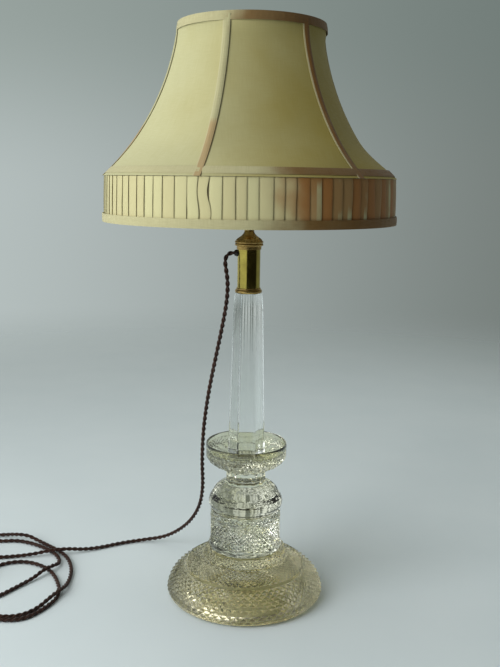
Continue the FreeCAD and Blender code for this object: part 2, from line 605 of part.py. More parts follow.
def carrier_arms():
    level = CARRIER_RING_Z + CARRIER_RING_T / 2
    shoulder = BOSS_TOP - CARRIER_SHOULDER_DROP
    boss_side = BOSS_TOP - BOSS_T / 2
    points = [
        (CARRIER_RING_R, 0, level), (CARRIER_SPAN, 0, level), (CARRIER_SPAN, 0, shoulder),
        (BOSS_R - 1.0, 0, boss_side),
    ]
    arm, _, _ = wire_rod(points, CARRIER_WIRE_R, CARRIER_BEND_R)
    eye = rod(CARRIER_WIRE_R * 2, CARRIER_RING_T, FreeCAD.Vector(CARRIER_RING_R, 0, CARRIER_RING_Z))
    arm = arm.fuse(eye).cut([carrier_ring(), rod(BOSS_R, BOSS_T, FreeCAD.Vector(0, 0, BOSS_TOP - BOSS_T))])
    return group(around(arm, 2))


def carrier_boss():
    body = turned(
        (0, 0), (BOSS_R - 3, 0), (BOSS_R, 2), (BOSS_R, BOSS_T), (STUD_R, BOSS_T),
        (STUD_R, BOSS_T + STUD_L), (0, BOSS_T + STUD_L),
        lift=BOSS_TOP - BOSS_T,
    )
    return body


def gimbal_ring():
    washer = sleeve(GIMBAL_R, STUD_R + RUNNING, GIMBAL_T, GIMBAL_Z)
    trunnions = [
        rod(TRUNNION_R, SPIDER_R - GIMBAL_R + 1, FreeCAD.Vector(side * (GIMBAL_R - 1), 0, PIVOT_Z),
            FreeCAD.Vector(side, 0, 0))
        for side in (-1, 1)
    ]
    return washer.fuse(trunnions).removeSplitter()


def spider_ring():
    ring = sleeve(SPIDER_R, SPIDER_BORE_R, SPIDER_T, PIVOT_Z - SPIDER_T / 2)
    left = FreeCAD.Vector(-SPIDER_R - 1, 0, PIVOT_Z)
    return ring.cut(rod(TRUNNION_R + RUNNING, 2 * SPIDER_R + 2, left, FreeCAD.Vector(1, 0, 0)))


def spider_arms():
    foot = spot(SPIDER_R - 0.3, PIVOT_Z)
    top = spot(top_ring_radius() - FRAME_WIRE_R * 0.4, SHADE_TOP - FRAME_WIRE_R * 1.6)
    arm = rod(SPIDER_ARM_R, (top - foot).Length, foot, top - foot)
    plain_ring = sleeve(SPIDER_R, SPIDER_BORE_R, SPIDER_T, PIVOT_Z - SPIDER_T / 2)
    arm = arm.cut([plain_ring, frame_top_ring()])
    return group(around(arm.Solids[0], SPIDER_ARMS, 90.0))


def finial_knob():
    ball = FINIAL_H - FINIAL_BALL_R
    body = turned(
        (0, 0), (FINIAL_R, 0), (FINIAL_R, 3), (FINIAL_NECK_R, 5), (FINIAL_NECK_R, 8),
        ((FINIAL_BALL_R - 0.3, ball - 3.0), (FINIAL_BALL_R, ball)),
        ((FINIAL_BALL_R * 0.75, ball + FINIAL_BALL_R * 0.65), (FINIAL_TIP_R, FINIAL_H)), (0, FINIAL_H),
        lift=FINIAL_Z,
    )
    depth = BOSS_TOP + STUD_L + REST_GAP - FINIAL_Z
    return body.cut(rod(STUD_R + RUNNING, depth, FreeCAD.Vector(0, 0, FINIAL_Z)))


# ---- Shade --------------------------------------------------------------------------------
def bell_circle():
    """Centre, radius and end angles of the bell's hollow curve."""
    low = FreeCAD.Vector(BAND_TOP_R, 0, BAND_TOP)
    high = FreeCAD.Vector(SHADE_TOP_R, 0, SHADE_TOP)
    chord = high - low
    radius = (chord.Length ** 2 / 4 + BELL_SAG ** 2) / (2 * BELL_SAG)
    outward = FreeCAD.Vector(chord.z, 0, -chord.x)
    outward.normalize()
    centre = (low + high) * 0.5 + outward * (radius - BELL_SAG)
    ends = [math.atan2(end.z - centre.z, end.x - centre.x) for end in (low, high)]
    return centre, radius, ends


def bell_spot(share, proud=0.0):
    """(radius, height) on the bell, share of the way up it, standing proud of the silk's face."""
    centre, radius, (low, high) = bell_circle()
    turn = (high - low + math.pi) % (2 * math.pi) - math.pi
    angle = low + share * turn
    return centre.x + (radius - proud) * math.cos(angle), centre.z + (radius - proud) * math.sin(angle)


def bell_strip(inner, outer, low=0.0, high=1.0, angle=360.0):
    """Layer of the bell between two distances from the silk's face."""
    middle = (low + high) / 2
    return turned(
        bell_spot(low, inner), bell_spot(low, outer),
        (bell_spot(middle, outer), bell_spot(high, outer)), bell_spot(high, inner),
        (bell_spot(middle, inner), bell_spot(low, inner)),
        angle=angle,
    )


def bell_length():
    """Length of the bell's curve from band to top."""
    _, radius, (low, high) = bell_circle()
    return radius * abs((high - low + math.pi) % (2 * math.pi) - math.pi)


def band_strip(inner, outer, low, high):
    """Layer of the upright band between two distances from its outer face."""
    def face(height, proud):
        share = (height - SHADE_Z) / BAND_H
        return SHADE_R - TRIM_T + share * (BAND_TOP_R - SHADE_R + TRIM_T) + proud, height
    return turned(face(low, inner), face(low, outer), face(high, outer), face(high, inner))


def silk_panel(number):
    step = 360.0 / PANELS
    panel = bell_strip(-SILK_T, 0.0, 0.02, 1.0, step - PANEL_GAP)
    return spun(panel, FIRST_RIB + step * number + PANEL_GAP / 2)


def wire_inset():
    return SILK_T + WIRE_GAP + FRAME_WIRE_R


def top_ring_radius():
    return bell_spot(1.0, -wire_inset())[0]


def hoop(radius, height):
    return Part.makeTorus(radius, FRAME_WIRE_R, FreeCAD.Vector(0, 0, height))


def band_wire_radius():
    return BAND_TOP_R - PLEAT_T - WIRE_GAP - FRAME_WIRE_R - 1.0


def frame_top_ring():
    return hoop(top_ring_radius(), SHADE_TOP - FRAME_WIRE_R * 1.6)


def frame_band_ring():
    return hoop(band_wire_radius(), BAND_TOP - FRAME_WIRE_R)


def frame_bottom_ring():
    return hoop(band_wire_radius(), SHADE_Z + FRAME_WIRE_R)


def frame_ribs():
    centre, radius, _ = bell_circle()
    radius = radius + wire_inset()
    low, high = [bell_spot(share, -wire_inset()) for share in (0.03, 0.975)]
    sweep = math.degrees(math.atan2(low[1] - centre.z, low[0] - centre.x) % (2 * math.pi)
                         - math.atan2(high[1] - centre.z, high[0] - centre.x) % (2 * math.pi))
    along = FreeCAD.Vector(-(low[1] - centre.z), 0, low[0] - centre.x)
    section = Part.Face(Part.Wire(Part.makeCircle(FRAME_WIRE_R, spot(*low), along)))
    rib = section.revolve(centre, FreeCAD.Vector(0, 1, 0), sweep)
    rings = [frame_top_ring(), frame_band_ring()]
    return group([piece.cut(rings) for piece in around(rib, PANELS, FIRST_RIB)])


def frame_struts():
    foot = spot(band_wire_radius(), SHADE_Z + FRAME_WIRE_R)
    strut = rod(FRAME_WIRE_R, BAND_H - 2 * FRAME_WIRE_R, foot)
    strut = strut.cut([frame_bottom_ring(), frame_band_ring()])
    longest = max(strut.Solids, key=lambda piece: piece.Volume)
    return group(around(longest, PANELS, FIRST_RIB))


def shade_lining():
    inset = wire_inset() + FRAME_WIRE_R + WIRE_GAP
    return bell_strip(-inset - LINING_T, -inset, 0.06, 0.97)


def pleated_band():
    return band_strip(-PLEAT_T, 0.0, SHADE_Z, BAND_TOP)


def top_trim():
    share = TRIM_W / bell_length()
    return bell_strip(0.0, TRIM_T, 1.0 - share, 1.0)


def band_trim():
    share = TRIM_W / bell_length()
    return bell_strip(0.0, TRIM_T, 0.02, 0.02 + share)


def bottom_trim():
    return band_strip(0.0, TRIM_T, SHADE_Z, SHADE_Z + TRIM_W)


def rib_tapes():
    share = TRIM_W / bell_length()
    sector = bell_strip(0.0, TRIM_T, 0.02 + share, 1.0 - share, 16.0)
    sector = spun(sector, -8.0)
    slab = Part.makeBox(SHADE_R, RIB_TAPE_W, SHADE_H, FreeCAD.Vector(0, -RIB_TAPE_W / 2, SHADE_Z))
    return group(around(sector.common(slab), PANELS, FIRST_RIB))


# ---- Flex and plug ------------------------------------------------------------------------
def flex_cord():
    """Free flex from the cord hole down to the table and along it to the coil.

    Above the table the route follows the tube radius and the height of the cord hole.
    """
    points = []
    for x, y, z in CORD_ROUTE:
        if z > ROUTE_FLOOR:
            x -= (TUBE_R - ROUTE_TUBE_R) * z / ROUTE_TOP
            z *= CORD_HOLE_Z / ROUTE_TOP
        points.append((x, y, z))
    cord, radii, length = wire_rod(points, FLEX_R)
    print("flex_cord radii", [round(radius, 1) for radius in radii])
    print("flex_cord length", round(length, 1), "volume / (section x length)",
          round(cord.Volume / (math.pi * FLEX_R ** 2 * length), 4))
    return cord


def flex_coil():
    """Outer shape of the loose coil on the table, with the tail that runs to the plug."""
    def oval(inset):
        circle = rod(1.0, COIL_H, FreeCAD.Vector(0, 0, 0))
        stretch = FreeCAD.Matrix()
        stretch.scale(COIL_RX - inset, COIL_RY - inset, 1)
        shape = circle.transformGeometry(stretch)
        shape.translate(FreeCAD.Vector(COIL_X, COIL_Y, 0))
        return shape
    end = PLUG_Y + PLUG_L / 2
    reach = COIL_Y + COIL_RY - COIL_BAND / 2 - end
    tail = rod(FLEX_R, reach, FreeCAD.Vector(PLUG_X, end, PLUG_ENTRY_H), FreeCAD.Vector(0, 1, 0))
    return oval(0.0).cut(oval(COIL_BAND)).fuse(tail).removeSplitter()


def plug_cover():
    middle = FreeCAD.Vector(PLUG_X, PLUG_Y, 0)
    shell = rounded_block(PLUG_W, PLUG_L, PLUG_COVER_T, PLUG_CORNER_R, middle)
    room = rounded_block(PLUG_W - 2 * PLUG_WALL, PLUG_L - 2 * PLUG_WALL, PLUG_COVER_T - PLUG_WALL,
                         PLUG_CORNER_R - PLUG_WALL, middle + UP * PLUG_WALL)
    entry = rod(FLEX_R, PLUG_L, middle + UP * PLUG_ENTRY_H, FreeCAD.Vector(0, 1, 0))
    pillar = rod(PLUG_SCREW_R + 2.0, PLUG_COVER_T - PLUG_WALL - 1.0, middle + UP * PLUG_WALL)
    return shell.cut([room, entry]).fuse(pillar).cut(plug_screw()).removeSplitter()


def pin_blocks(clearance):
    """The three rectangular pins, standing on the plug's base."""
    level = PLUG_COVER_T + 1.5
    blocks = []
    pins = (
        (EARTH_PIN, 0.0, PIN_EARTH_Y), (LINE_PIN, -PIN_LINE_X, PIN_LINE_Y),
        (LINE_PIN, PIN_LINE_X, PIN_LINE_Y),
    )
    for (width, depth, length), x, y in pins:
        wide, deep = width + 2 * clearance, depth + 2 * clearance
        corner = FreeCAD.Vector(PLUG_X + x - wide / 2, PLUG_Y - y - deep / 2, level)
        blocks.append(Part.makeBox(wide, deep, PLUG_BASE_T - 1.5 + length, corner))
    return blocks


def plug_base():
    middle = FreeCAD.Vector(PLUG_X, PLUG_Y, PLUG_COVER_T)
    slab = rounded_block(PLUG_W, PLUG_L, PLUG_BASE_T, PLUG_CORNER_R, middle)
    return slab.cut(pin_blocks(0.0) + [plug_screw()])


def plug_pins():
    return group(pin_blocks(0.0))


def plug_screw():
    top = PLUG_COVER_T + PLUG_BASE_T
    middle = FreeCAD.Vector(PLUG_X, PLUG_Y, 0)
    shank = rod(PLUG_SCREW_R, top - PLUG_WALL - 2.0, middle + UP * (PLUG_WALL + 1.0))
    head = rod(PLUG_SCREW_HEAD_R, PLUG_SCREW_HEAD_T, middle + UP * (top - 1.0 - PLUG_SCREW_HEAD_T))
    return shank.common(rod(PLUG_SCREW_R, top - 1.0, middle)).fuse(head).removeSplitter()


# ---- Build ----------------------------------------------------------------------------------
def build():
    """Every node's name and shape."""
    nodes = {
        "baize_pad": baize_pad(), "glass_foot": glass_foot(), "glass_drum": glass_drum(),
        "glass_shoulder": glass_shoulder(), "drip_dish": drip_dish(), "glass_column": glass_column(),
        "cement_layers": cement_layers(), "ferrule_ring": ferrule_ring(), "candle_tube": candle_tube(),
        "brass_cap": brass_cap(), "threaded_nipple": threaded_nipple(), "lock_nut": lock_nut(),
        "cord_bush": cord_bush(), "holder_cap": holder_cap(), "push_bar": push_bar(),
        "holder_shell": holder_shell(), "holder_core": holder_core(), "bayonet_sleeve": bayonet_sleeve(),
        "plunger_left": plunger(-1), "plunger_right": plunger(1),
        "plunger_spring_left": plunger_spring(-1), "plunger_spring_right": plunger_spring(1),
        "holder_leads": holder_leads(),
        "lower_shade_ring": shade_ring(LOWER_RING_Z), "upper_shade_ring": shade_ring(UPPER_RING_Z),
        "bulb_cap": bulb_cap(), "bulb_base": bulb_base(), "bulb_glass": bulb_glass(),
        "bulb_stem": bulb_stem(), "bulb_filament": bulb_filament(),
        "carrier_ring": carrier_ring(), "carrier_arms": carrier_arms(), "carrier_boss": carrier_boss(),
        "gimbal_ring": gimbal_ring(), "spider_ring": spider_ring(), "spider_arms": spider_arms(),
        "finial_knob": finial_knob(),
        "frame_top_ring": frame_top_ring(), "frame_band_ring": frame_band_ring(),
        "frame_bottom_ring": frame_bottom_ring(), "frame_ribs": frame_ribs(), "frame_struts": frame_struts(),
        "shade_lining": shade_lining(), "pleated_band": pleated_band(), "top_trim": top_trim(),
        "band_trim": band_trim(), "bottom_trim": bottom_trim(), "rib_tapes": rib_tapes(),
        "flex_cord": flex_cord(), "flex_coil": flex_coil(),
        "plug_cover": plug_cover(), "plug_base": plug_base(), "plug_pins": plug_pins(),
        "plug_screw": plug_screw(),
    }
    for number in range(PANELS):
        nodes["silk_panel_%d" % (number + 1)] = silk_panel(number)
    return nodes


os.makedirs("parts", exist_ok=True)
for name, shape in build().items():
    box = shape.optimalBoundingBox(False, False)
    print("%-22s solids %d valid %s volume %.1f z %.1f..%.1f" % (
        name, len(shape.Solids), shape.isValid(), shape.Volume, box.ZMin, box.ZMax))
    shape.exportStep("parts/%s.step" % name)
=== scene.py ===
"""Cut-glass column table lamp with a six-gore bell shade.

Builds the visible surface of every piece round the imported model: cut glass, brass, twisted
silk flex, silk gores, knife-pleated band, tapes and trims.  Sizes in the classes are in
millimetres, in the model's own frame: Z up, origin on the table under the foot.
"""
import logging
import math
from dataclasses import dataclass
from enum import Enum

import bmesh
import bpy
import numpy as np
from mathutils import Matrix, Vector


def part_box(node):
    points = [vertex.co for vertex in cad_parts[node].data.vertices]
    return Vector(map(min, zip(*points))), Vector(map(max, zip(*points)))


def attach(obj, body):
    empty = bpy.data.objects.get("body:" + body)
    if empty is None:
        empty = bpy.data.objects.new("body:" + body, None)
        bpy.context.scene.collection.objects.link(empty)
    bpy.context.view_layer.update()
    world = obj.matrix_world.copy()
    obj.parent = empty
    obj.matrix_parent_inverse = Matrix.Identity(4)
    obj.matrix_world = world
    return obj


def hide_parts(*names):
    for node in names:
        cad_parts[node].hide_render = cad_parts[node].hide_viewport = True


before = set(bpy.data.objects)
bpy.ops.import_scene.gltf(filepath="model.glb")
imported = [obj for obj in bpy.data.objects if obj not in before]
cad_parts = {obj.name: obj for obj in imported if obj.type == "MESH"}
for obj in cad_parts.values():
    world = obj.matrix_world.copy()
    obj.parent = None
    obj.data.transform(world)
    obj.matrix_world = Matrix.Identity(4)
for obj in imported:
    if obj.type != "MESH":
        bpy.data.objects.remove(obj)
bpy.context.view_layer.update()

logging.basicConfig(level=logging.INFO, format="%(message)s")
log = logging.getLogger("table_lamp")

MM = 0.001
WELD = 2e-6                    # metres; points closer than this are one point
FULL_TURN = 2.0 * math.pi

Colour = tuple[float, float, float]
Rows = list[tuple[float, float]]        # (radius, height) pairs of a section
Node, Piece, Socket = bpy.types.Node, bpy.types.Object, bpy.types.NodeSocket


def srgb(red: int, green: int, blue: int) -> Colour:
    """Linear colour of a display colour given as 0 to 255.

    Args:
        red, green, blue: the display colour's parts.

    Returns:
        The linear parts, 0 to 1.
    """
    value = np.array([red, green, blue]) / 255.0
    linear = np.where(value <= 0.04045, value / 12.92, ((value + 0.055) / 1.055) ** 2.4)
    return tuple(linear.tolist())


def darker(colour: Colour, share: float) -> Colour:
    """The colour times share."""
    return tuple(part * share for part in colour)


def smooth_step(value: np.ndarray, low: float, high: float) -> np.ndarray:
    """0 below low, 1 above high, and 3t² − 2t³ between them.

    Args:
        value: the values to change.
        low: where it starts to rise.
        high: where it reaches 1.

    Returns:
        An array of the same shape.
    """
    t = np.clip((value - low) / (high - low), 0.0, 1.0)
    return t * t * (3.0 - 2.0 * t)


# ---- Surfaces ---------------------------------------------------------------------------

class Skin:
    """Gathers grids of points, in millimetres, and welds them into one mesh."""

    def __init__(self) -> None:
        """Starts with no points and no faces."""
        self.points: list[np.ndarray] = []
        self.uvs: list[np.ndarray] = []
        self.ground: list[np.ndarray] = []
        self.faces: list[list[int]] = []
        self.count = 0

    def grid(self, points: np.ndarray, uv: np.ndarray | None = None, crossed: bool = False,
             ground: np.ndarray | float = 0.0) -> None:
        """Adds a grid of points and the faces between them.

        Args:
            points: rows by columns by 3.
            uv: rows by columns by 2; rows and columns themselves if left out.
            crossed: splits each cell along the diagonal whose ends have an even row plus
                column, so that the cut between two diamonds is a straight edge.
            ground: how matt each point is, rows by columns; 0 is polished.
        """
        rows, columns = points.shape[:2]
        index = np.arange(rows * columns).reshape(rows, columns) + self.count
        a, b, c, d = index[:-1, :-1], index[:-1, 1:], index[1:, 1:], index[1:, :-1]
        if crossed:
            even = np.add.outer(np.arange(rows - 1), np.arange(columns - 1))[..., None] % 2 == 0
            for even_cell, odd_cell in (((a, b, c), (a, b, d)), ((a, c, d), (b, c, d))):
                half = np.where(even, np.stack(even_cell, -1), np.stack(odd_cell, -1))
                self.faces += half.reshape(-1, 3).tolist()
        else:
            self.faces += np.stack([a, b, c, d], -1).reshape(-1, 4).tolist()
        if uv is None:
            uv = np.stack(np.meshgrid(np.arange(columns), np.arange(rows)), -1)
        self.points.append(points.reshape(-1, 3))
        self.uvs.append(np.asarray(uv, float).reshape(-1, 2))
        self.ground.append(np.broadcast_to(ground, (rows, columns)).ravel())
        self.count += rows * columns

    def wall(self, outer: np.ndarray, inner: np.ndarray, uv: np.ndarray,
             hoop: bool = False) -> None:
        """Adds a cloth's two faces and the edges that close them.

        Args:
            outer: the outer face, rows by columns by 3.
            inner: the inner face, of the same shape.
            uv: the UV of both, rows by columns by 2.
            hoop: whether the cloth goes all the way round, and so has no ends.
        """
        self.grid(outer, uv)
        self.grid(inner[:, ::-1], uv[:, ::-1])
        edges = [(inner[0], outer[0], uv[0]), (outer[-1], inner[-1], uv[-1])]
        if not hoop:
            edges += [(outer[:, 0], inner[:, 0], uv[:, 0]), (inner[:, -1], outer[:, -1], uv[:, -1])]
        for first, second, edge_uv in edges:
            self.grid(np.stack([first, second]), np.stack([edge_uv, edge_uv]))

    def piece(self, name: str, crease: float = 32.0) -> Piece:
        """Welds the grids into one closed mesh with its faces outwards.

        Args:
            name: the piece's name.
            crease: edges that turn by more than this many degrees stay crisp.

        Returns:
            The new object, at the origin.
        """
        mesh = bpy.data.meshes.new(name)
        mesh.from_pydata((np.concatenate(self.points) * MM).tolist(), [], self.faces)
        corner = np.empty(len(mesh.loops), np.int64)
        mesh.loops.foreach_get("vertex_index", corner)
        layer = mesh.uv_layers.new(name="UVMap")
        layer.data.foreach_set("uv", np.concatenate(self.uvs)[corner].ravel())
        matt = mesh.attributes.new("ground", "FLOAT", "POINT")
        matt.data.foreach_set("value", np.concatenate(self.ground).astype(np.float32))
        work = bmesh.new()
        work.from_mesh(mesh)
        bmesh.ops.remove_doubles(work, verts=work.verts, dist=WELD)
        bmesh.ops.recalc_face_normals(work, faces=work.faces)
        work.to_mesh(mesh)
        work.free()
        mesh.polygons.foreach_set("use_smooth", np.ones(len(mesh.polygons), bool))
        mesh.set_sharp_from_angle(angle=math.radians(crease))
        return linked(name, mesh)


def linked(name: str, data: bpy.types.ID) -> Piece:
    """A new object in the scene, holding the given data.

    Args:
        name: the object's name.
        data: its mesh, curve, light or camera.

    Returns:
        The object.
    """
    made = bpy.data.objects.new(name, data)
    bpy.context.scene.collection.objects.link(made)
    return made


def circle(sides: int) -> np.ndarray:
    """Angles of a full turn, with the first repeated at the end."""
    return np.linspace(0.0, FULL_TURN, sides + 1)


def zigzag(angles: np.ndarray, count: int, shift: float = 0.0) -> np.ndarray:
    """A zigzag round the axis: 1 at count even places and 0 half way between them.

    Args:
        angles: where it is worked out.
        count: how many teeth go round.
        shift: share of a tooth that it is turned by.

    Returns:
        A value for each angle.
    """
    return np.abs((angles * count / FULL_TURN + shift) % 1.0 - 0.5) * 2


def through(points: Rows, steps: int) -> np.ndarray:
    """A smooth line through points of a section.

    Each span is the Catmull-Rom cubic: half of (2b + (c−a)t + (2a−5b+4c−d)t² +
    (3b−a−3c+d)t³) for the points a, b, c, d about it.

    Args:
        points: (radius, height) pairs.
        steps: how many parts each span is cut into.

    Returns:
        An array of (radius, height).
    """
    given = np.array(points, float)
    padded = np.vstack([2 * given[0] - given[1], given, 2 * given[-1] - given[-2]])
    a, b, c, d = (padded[i:len(padded) - 3 + i, None, :] for i in range(4))
    t = (np.arange(steps) / steps)[None, :, None]
    line = 0.5 * (2 * b + (c - a) * t + (2 * a - 5 * b + 4 * c - d) * t ** 2
                  + (3 * b - a - 3 * c + d) * t ** 3)
    return np.vstack([line.reshape(-1, 2), given[-1:]])


def even_rows(points: Rows, rows: int) -> np.ndarray:
    """The smooth line through points, cut into equal parts by its length over its radius.

    That keeps a diamond as tall for its width wherever it stands on a dome.

    Args:
        points: (radius, height) pairs.
        rows: how many parts.

    Returns:
        An array of (radius, height).
    """
    line = through(points, 24)
    step = np.hypot(*np.diff(line, axis=0).T) / ((line[1:, 0] + line[:-1, 0]) / 2)
    run = np.concatenate([[0.0], np.cumsum(step)])
    at = np.linspace(0.0, run[-1], rows + 1)
    return np.stack([np.interp(at, run, line[:, 0]), np.interp(at, run, line[:, 1])], -1)


def upright(radius: float, low: float, high: float, rows: int) -> np.ndarray:
    """A straight upright line, as rows of (radius, height)."""
    return np.stack([np.full(rows, radius), np.linspace(low, high, rows)], -1)


def polygon_plan(angles: np.ndarray, sides: int, first: float) -> np.ndarray:
    """Radius of a regular polygon at each angle, as a share of its corner radius.

    It is cos(π/n) over cos of the angle from the middle of the side.

    Args:
        angles: where it is worked out.
        sides: how many sides.
        first: the angle of one corner.

    Returns:
        A share for each angle.
    """
    part = FULL_TURN / sides
    return math.cos(part / 2) / np.cos((angles - first) % part - part / 2)


def round_axis(radius: np.ndarray, angles: np.ndarray, height: np.ndarray) -> np.ndarray:
    """Points x = r·cos a, y = r·sin a, z = h, for arrays that spread to one shape.

    Args:
        radius: each point's distance from the axis.
        angles: its angle.
        height: its height.

    Returns:
        Rows by columns by 3.
    """
    x, y = radius * np.cos(angles), radius * np.sin(angles)
    return np.stack(np.broadcast_arrays(x, y, height), -1)


def turned(section: np.ndarray, angles: np.ndarray, base: float,
           cut: np.ndarray | float = 0.0, plan: np.ndarray | float = 1.0) -> np.ndarray:
    """A section turned round the axis, and sunk along its normal where it is cut.

    Args:
        section: (radius, height) rows.
        angles: one column for each.
        base: height of the section's zero.
        cut: how deep each point is sunk, rows by columns.
        plan: share of the radius kept at each point, rows by columns.

    Returns:
        Rows by columns by 3.
    """
    along = np.gradient(section, axis=0)
    along /= np.maximum(np.linalg.norm(along, axis=1, keepdims=True), 1e-9)
    radius = section[:, :1] * plan - cut * along[:, 1:]
    return round_axis(radius, angles, base + section[:, 1:] + cut * along[:, :1])


def run_along(points: np.ndarray) -> np.ndarray:
    """Length along a line of points, from 0 at the first."""
    return np.concatenate([[0.0], np.cumsum(np.linalg.norm(np.diff(points, axis=0), axis=1))])


def section_uv(section: np.ndarray, angles: np.ndarray) -> np.ndarray:
    """Turns round the axis across, and millimetres along the section up."""
    return np.stack(np.meshgrid(angles / FULL_TURN, run_along(section)), -1)


# ---- Finishes ---------------------------------------------------------------------------

class Mixer:
    """Adds nodes to a node tree and joins them."""

    def __init__(self, tree: bpy.types.NodeTree) -> None:
        """Works in the given tree."""
        self.tree = tree

    def add(self, kind: str, settings: dict | None = None, **inputs: object) -> Node:
        """Adds a node.

        Args:
            kind: the node's type name without its ShaderNode prefix.
            settings: the node's own properties.
            **inputs: a value or an output for each input, underscores for spaces; an input
                picked by place is written as i0, i1 and so on.

        Returns:
            The node.
        """
        node = self.tree.nodes.new("ShaderNode" + kind)
        for key, value in (settings or {}).items():
            setattr(node, key, value)
        for key, value in inputs.items():
            place = int(key[1:]) if key[0] == "i" and key[1:].isdigit() else key.replace("_", " ")
            self.join(value, node.inputs[place])
        return node

    def join(self, value: object, socket: Socket) -> None:
        """Links an output to a socket, or sets the socket to a plain value.

        Args:
            value: an output, or a plain value.
            socket: the input that takes it.
        """
        if isinstance(value, Socket):
            self.tree.links.new(value, socket)
        elif isinstance(value, tuple) and socket.type == "RGBA":
            socket.default_value = (*value[:3], 1.0)
        else:
            socket.default_value = value

    def math(self, operation: str, *values: object) -> Socket:
        """The result of a Math node.

        Args:
            operation: Blender's name for it.
            *values: a number or an output for each input.

        Returns:
            The node's output.
        """
        node = self.add("Math", {"operation": operation})
        for value, socket in zip(values, node.inputs):
            self.join(value, socket)
        return node.outputs[0]

    def times(self, first: object, second: object) -> Socket:
        """The product of two values."""
        return self.math("MULTIPLY", first, second)

    def plus(self, first: object, second: object) -> Socket:
        """The sum of two values."""
        return self.math("ADD", first, second)

    def minus(self, first: object, second: object) -> Socket:
        """The first value less the second."""
        return self.math("SUBTRACT", first, second)

    def ramp(self, value: object, low: object, high: object, to_low: float = 0.0,
             to_high: float = 1.0) -> Socket:
        """Value from low to high, changed smoothly to to_low to to_high.

        Args:
            value: the value to change.
            low: where it starts.
            high: where it ends.
            to_low: the result at low.
            to_high: the result at high.

        Returns:
            The new value.
        """
        return self.add("MapRange", {"interpolation_type": "SMOOTHSTEP"}, Value=value,
                        From_Min=low, From_Max=high, To_Min=to_low, To_Max=to_high).outputs[0]

    def blend(self, share: object, first: object, second: object) -> Socket:
        """First colour where share is 0, second where it is 1."""
        return self.add("Mix", {"data_type": "RGBA"}, i0=share, i6=first, i7=second).outputs[2]

    def noise(self, vector: object, scale: object, detail: float = 3.0) -> Socket:
        """The height of a Noise node."""
        return self.add("TexNoise", Vector=vector, Scale=scale, Detail=detail).outputs[0]

    def spread(self, vector: object, x: float, y: float, z: float) -> Socket:
        """A vector with each part scaled."""
        return self.add("Mapping", Vector=vector, Scale=(x, y, z)).outputs[0]

    def parts(self, vector: object) -> tuple[Socket, Socket, Socket]:
        """The three parts of a vector."""
        return tuple(self.add("SeparateXYZ", Vector=vector).outputs)


def new_group(name: str, inputs: dict[str, float | tuple], outputs: tuple[str, ...]) -> tuple:
    """Starts a shader node group with named sockets.

    Args:
        name: the group's name.
        inputs: each input's name and default; a tuple makes a vector.
        outputs: each output's name; all are numbers.

    Returns:
        The tree, its mixer, what it is given and what it puts out, both by name.
    """
    tree = bpy.data.node_groups.new(name, "ShaderNodeTree")
    for key, default in inputs.items():
        kind = "NodeSocketVector" if isinstance(default, tuple) else "NodeSocketFloat"
        socket = tree.interface.new_socket(name=key, in_out="INPUT", socket_type=kind)
        socket.default_value = default
    for key in outputs:
        tree.interface.new_socket(name=key, in_out="OUTPUT", socket_type="NodeSocketFloat")
    given, put = tree.nodes.new("NodeGroupInput"), tree.nodes.new("NodeGroupOutput")
    return tree, Mixer(tree), given.outputs, put.inputs


def make_handling_wear() -> bpy.types.NodeTree:
    """Patchy wear and finger marks, 0 to 1: broad noise and fine noise added.

    Returns:
        The group's tree.
    """
    tree, mix, given, put = new_group(
        "handling_wear", {"Vector": (0, 0, 0), "Patch Size": 0.03, "Contrast": 0.2}, ("Mask",))
    scale = mix.math("DIVIDE", 1.0, given["Patch Size"])
    broad = mix.noise(given["Vector"], scale, 4.0)
    fine = mix.noise(given["Vector"], mix.times(scale, 9.0))
    both = mix.plus(mix.times(broad, 0.7), mix.times(fine, 0.3))
    low, high = mix.minus(0.5, given["Contrast"]), mix.plus(0.5, given["Contrast"])
    mix.join(mix.ramp(both, low, high), put["Mask"])
    return tree


def make_plain_weave() -> bpy.types.NodeTree:
    """Over-and-under threads: the higher of two waves at right angles, with uneven threads.

    Vector is in millimetres on the cloth.  Puts out the thread height and a slub mask.

    Returns:
        The group's tree.
    """
    tree, mix, given, put = new_group(
        "plain_weave", {"Vector": (0, 0, 0), "Threads Per Millimetre": 1.6, "Slub": 0.5},
        ("Height", "Slubs"))
    turn = mix.times(given["Threads Per Millimetre"], math.pi)
    warp, weft = (mix.math("ABSOLUTE", mix.math("SINE", mix.times(part, turn)))
                  for part in mix.parts(given["Vector"])[:2])
    along = mix.noise(mix.spread(given["Vector"], 0.05, 1.4, 1.0), 1.0, 2.0)
    across = mix.noise(mix.spread(given["Vector"], 1.1, 0.04, 1.0), 1.0, 2.0)
    slub = mix.times(mix.plus(along, across), 0.5)
    woven = mix.math("MAXIMUM", warp, weft)
    mix.join(mix.plus(woven, mix.times(slub, given["Slub"])), put["Height"])
    mix.join(mix.ramp(slub, 0.38, 0.62), put["Slubs"])
    return tree


def make_painted_side_shade() -> bpy.types.NodeTree:
    """How much painted shade the cloth has: 0 on the lit −X side, 1 on the +X side away from the
    light, where its colour is painted darker and browner.

    The share is the smoothed X of the place, stirred by noise.

    Returns:
        The group's tree.
    """
    tree, mix, given, put = new_group(
        "painted_side_shade", {"Vector": (0, 0, 0), "From": -0.02, "To": 0.16}, ("Painted Shade",))
    stirred = mix.times(mix.minus(mix.noise(given["Vector"], 14.0), 0.5), 0.12)
    place = mix.plus(mix.parts(given["Vector"])[0], stirred)
    mix.join(mix.ramp(place, given["From"], given["To"]), put["Painted Shade"])
    return tree


